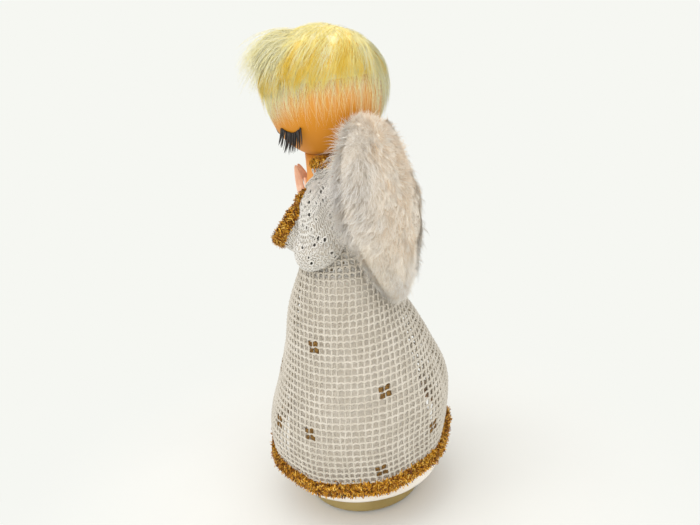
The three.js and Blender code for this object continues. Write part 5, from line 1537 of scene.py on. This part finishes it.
def wing(name, side, taper, droop, dice):
    """A lobe swollen by the root of one minus its share squared, and hairs that flow out and down."""
    ring = np.linspace(0.04, 1, WING_RINGS)[:, None, None]
    share = np.linspace(0, 1, WING_ROUND, endpoint=False)
    rim = lowered(wing_rim(share), droop)
    flat = WING_MIDDLE + (rim[None] - WING_MIDDLE) * HIDE_SHARE * ring
    front = np.concatenate([flat, plump(flat, ring[..., 0], 1, taper)[..., None]], -1)
    back = np.concatenate([flat, -plump(flat, ring[..., 0], -1, taper)[..., None]], -1)
    shell = np.concatenate([front, back[-2::-1]])
    poles = [[*WING_MIDDLE, face * float(plump(WING_MIDDLE, 0.0, face, taper))] for face in (1, -1)]
    points = behind_shoulders(np.concatenate([shell.reshape(-1, 3), poles]), side)
    faces = turned_out(points, closed_grid(len(shell), WING_ROUND))
    hide = piece(name + "_hide", points, faces, wing_hide, "white_fur")

    bank = dice.uniform(-0.7, 0.7, WING_HAIRS)
    at_rim = dice.uniform(0, 1, WING_HAIRS) < RIM_SHARE
    reach = np.where(at_rim, np.cos(bank), np.sqrt(dice.uniform(0, 1, WING_HAIRS)))
    arm = lowered(wing_rim(dice.uniform(0, 1, WING_HAIRS)), droop) - WING_MIDDLE
    root_flat = WING_MIDDLE + arm * HIDE_SHARE * reach[:, None]
    face = dice.choice([-1.0, 1.0], WING_HAIRS)
    half_t = np.where(face > 0, HIDE_HALF_T, HIDE_BACK_T)
    root_depth = face * plump(root_flat, reach, face, taper)
    root = np.concatenate([root_flat, root_depth[:, None]], -1)
    steep = (reach / np.linalg.norm(arm, axis=-1))[:, None] * unit(arm)
    normal = unit(np.concatenate([steep, (root_depth / half_t**2)[:, None]], -1))
    spread = root_flat[:WING_LOCKS]
    nearest = np.argmax(2 * root_flat @ spread.T - (spread**2).sum(-1), axis=1)
    spine_run = WING_SPINE_HIGH - WING_SPINE_LOW
    on_spine = np.clip((root_flat - WING_SPINE_LOW) @ spine_run / (spine_run @ spine_run), 0, 1)
    off_spine = root_flat - WING_SPINE_LOW - on_spine[:, None] * spine_run
    away = np.linalg.norm(off_spine, axis=-1, keepdims=True)
    swirl = 0.5 * np.sin(root_flat[:, 0] * 0.2 + 1.3 * face) + 0.5 * np.cos(root_flat[:, 1] * 0.14)
    swirl = swirl + 0.3 * dice.normal(0, 1, WING_LOCKS)[nearest] + dice.normal(0, 0.2, WING_HAIRS)
    flow = off_spine / np.maximum(away, 8) + np.array([0, -0.5])
    flow = flow + np.stack([-flow[:, 1], flow[:, 0]], -1) * swirl[:, None] * 0.7
    flow = np.concatenate([unit(flow), np.zeros((WING_HAIRS, 1))], -1)
    pull = np.concatenate([spread[nearest] - root_flat, np.zeros((WING_HAIRS, 1))], -1)
    flow = flow - 0.8 * normal * (flow * normal).sum(-1, keepdims=True)
    s = np.linspace(0, 1, WING_STEPS)[None, :, None]
    outer = smooth_step(26, 42, root_flat[:, 0])
    length = (dice.uniform(*WING_HAIR_L, WING_HAIRS) * (1 + 0.8 * outer))[:, None, None]
    wild = (dice.uniform(0, 1, WING_HAIRS) < WILD_SHARE * (0.2 + 0.8 * outer))[:, None, None]
    length = length * np.where(wild, 1.25, 1)
    curl = dice.normal(0, 0.14, (WING_HAIRS, 1, 3))
    lift = normal[:, None] * (0.6 * s - 0.3 * s**2) * np.where(wild, 2, 1)
    lean = flow[:, None] * 0.9 * s + lift + curl * s**2
    paths = root[:, None] + length * lean + 0.4 * pull[:, None] * s**2
    paths = behind_shoulders(paths, side)
    clear = ~inside_figure(paths).any(1)
    # Hairs at the outer rim and at the bottom of a wing get pale tints and those in the middle tan ones:
    # painted light on the rim and painted shade in the middle, on fur that is cream-white all over.
    tint = 0.32 + 0.45 * np.maximum(outer, smooth_step(-8, -34, root_flat[:, 1]))
    tint = tint + 0.09 * dice.normal(0, 1, WING_LOCKS)[nearest] + dice.normal(0, 0.07, WING_HAIRS)
    thick = dice.uniform(*WING_HAIR_R, WING_HAIRS)
    facing = unit(np.minimum(normal, FACING_MOST) * FACING_SHARE + FACING_LEAN)
    facing = behind_shoulders(facing, side) - behind_shoulders(np.zeros(3), side)
    hairs = [values[clear] for values in (paths, thick, tint, facing)]
    fur_halves(name + "_fur", *hairs, white_fur, "white_fur")
    return hide


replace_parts(wing("wing_left", 1, 0.05, -1.5, np.random.default_rng(81)), "wing_left")
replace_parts(wing("wing_right", -1, 0.75, 6.5, np.random.default_rng(82)), "wing_right")


# Studio
# A pale floor that fades into a white surround, lit by the surround and by four soft lamps.
# The camera stands to the figure's left and a little above it, and is slightly rolled.
PHOTO_W = 700
FOCAL_PX = 650
PAN_PX = 4.96
SENSOR_W = 36
CAMERA_TURN = math.radians(108)
CAMERA_FAR = 297.83
CAMERA_Z = 216.0
CAMERA_TILT = math.radians(17.57)
CAMERA_ROLL = math.radians(5.33)
CAMERA_PAN = math.atan(PAN_PX / FOCAL_PX)
SURROUND = (*tone(246, 247, 242), 1)
SKY_LIGHT = 1.04
FLOOR_HALF = 3000.0
FADE_FROM = 50.0
FADE_TO = 200.0
LAMP_AIM_Z = 110.0

toward = np.array([math.sin(CAMERA_TURN), -math.cos(CAMERA_TURN), 0])
upright = np.array([0, 0, 1.0])
sight = -toward * math.cos(CAMERA_TILT) - upright * math.sin(CAMERA_TILT)
right = unit(np.cross(sight, upright))
rolled_right, rolled_up = turned(right, np.cross(right, sight), CAMERA_ROLL)
panned_right, panned_sight = turned(rolled_right, sight, CAMERA_PAN)
camera_place = np.eye(4)
camera_place[:3, :3] = np.stack([panned_right, rolled_up, -panned_sight], -1)
camera_place[:3, 3] = (toward * CAMERA_FAR + upright * CAMERA_Z) * MM
camera_data = bpy.data.cameras.new("camera")
camera_data.lens = SENSOR_W * FOCAL_PX / PHOTO_W
camera_data.sensor_width = SENSOR_W
camera_data.clip_start = 0.01
camera = bpy.data.objects.new("camera", camera_data)
camera.matrix_world = Matrix(camera_place.tolist())
bpy.context.scene.collection.objects.link(camera)
bpy.context.scene.camera = camera
bpy.context.scene.view_settings.view_transform = "Standard"


def seen_directly(tree):
    """A socket that is one for rays that show the surround: camera, mirror and glass rays."""
    path = tree.nodes.new("ShaderNodeLightPath")
    total = path.outputs["Is Camera Ray"]
    for kind in ("Is Glossy Ray", "Is Transmission Ray"):
        either = tree.nodes.new("ShaderNodeMath")
        either.operation = "MAXIMUM"
        tree.links.new(total, either.inputs[0])
        tree.links.new(path.outputs[kind], either.inputs[1])
        total = either.outputs[0]
    return total


world = bpy.data.worlds.new("soft_surround")
bpy.context.scene.world = world
world.use_nodes = True
sky = world.node_tree
lit = sky.nodes["Background"]
lit.inputs["Color"].default_value = (1.0, 0.99, 0.97, 1)
lit.inputs["Strength"].default_value = SKY_LIGHT
shown = sky.nodes.new("ShaderNodeBackground")
shown.inputs["Color"].default_value = SURROUND
either_sky = sky.nodes.new("ShaderNodeMixShader")
for number, socket in enumerate((seen_directly(sky), lit.outputs[0], shown.outputs[0])):
    sky.links.new(socket, either_sky.inputs[number])
sky.links.new(either_sky.outputs[0], sky.nodes["World Output"].inputs["Surface"])

floor_finish = Finish("pale_floor", Roughness=0.9, Specular_IOR_Level=0.0)
floor_finish.shades(floor_finish.noise(9.0, 2.0), (228, 228, 224), (232, 232, 228))
distance = floor_finish.node("VectorMath", {"operation": "LENGTH"}, {0: floor_finish.place()}, "Value")
fade_inputs = {0: distance, 1: FADE_FROM * MM, 2: FADE_TO * MM}
fade = floor_finish.node("MapRange", {"interpolation_type": "SMOOTHSTEP"}, fade_inputs)
fade = fade * Field(floor_finish, seen_directly(floor_finish.tree))
plain_floor = Field(floor_finish, floor_finish.shader.outputs[0])
glow = floor_finish.node("Emission", inputs={0: SURROUND, 1: 1.0})
surface = floor_finish.node("MixShader", inputs={0: fade, 1: plain_floor, 2: glow})
floor_finish.feed(floor_finish.tree.nodes["Material Output"].inputs["Surface"], surface)
floor_mesh = bpy.data.meshes.new("floor")
floor_signs = [(-1, -1), (1, -1), (1, 1), (-1, 1)]
floor_corners = [(x * FLOOR_HALF * MM, y * FLOOR_HALF * MM, 0.0) for x, y in floor_signs]
floor_mesh.from_pydata(floor_corners, [], [(0, 1, 2, 3)])
floor_mesh.materials.append(floor_finish.material)
floor = bpy.data.objects.new("floor", floor_mesh)
bpy.context.scene.collection.objects.link(floor)


def lamp(name, turn, rise, far, size, power):
    """A square soft lamp at a turn and rise round the figure, far off in metres, aimed at it."""
    data = bpy.data.lights.new(name, "AREA")
    data.size = size
    data.energy = power
    made = bpy.data.objects.new(name, data)
    away = polar(math.radians(turn), math.cos(math.radians(rise)), math.sin(math.radians(rise)))
    side = unit(np.cross([0, 0, 1.0], away))
    place = np.eye(4)
    place[:3, :3] = np.stack([side, np.cross(away, side), away], -1)
    place[:3, 3] = away * far + [0, 0, LAMP_AIM_Z * MM]
    made.matrix_world = Matrix(place.tolist())
    bpy.context.scene.collection.objects.link(made)


lamp("window_lamp", turn=65, rise=46, far=0.9, size=0.8, power=1.5)
lamp("front_lamp", turn=25, rise=25, far=1.0, size=0.6, power=1.2)
lamp("fill_lamp", turn=145, rise=38, far=1.0, size=0.8, power=1.2)
lamp("low_lamp", turn=106, rise=20, far=1.0, size=0.6, power=1.5)
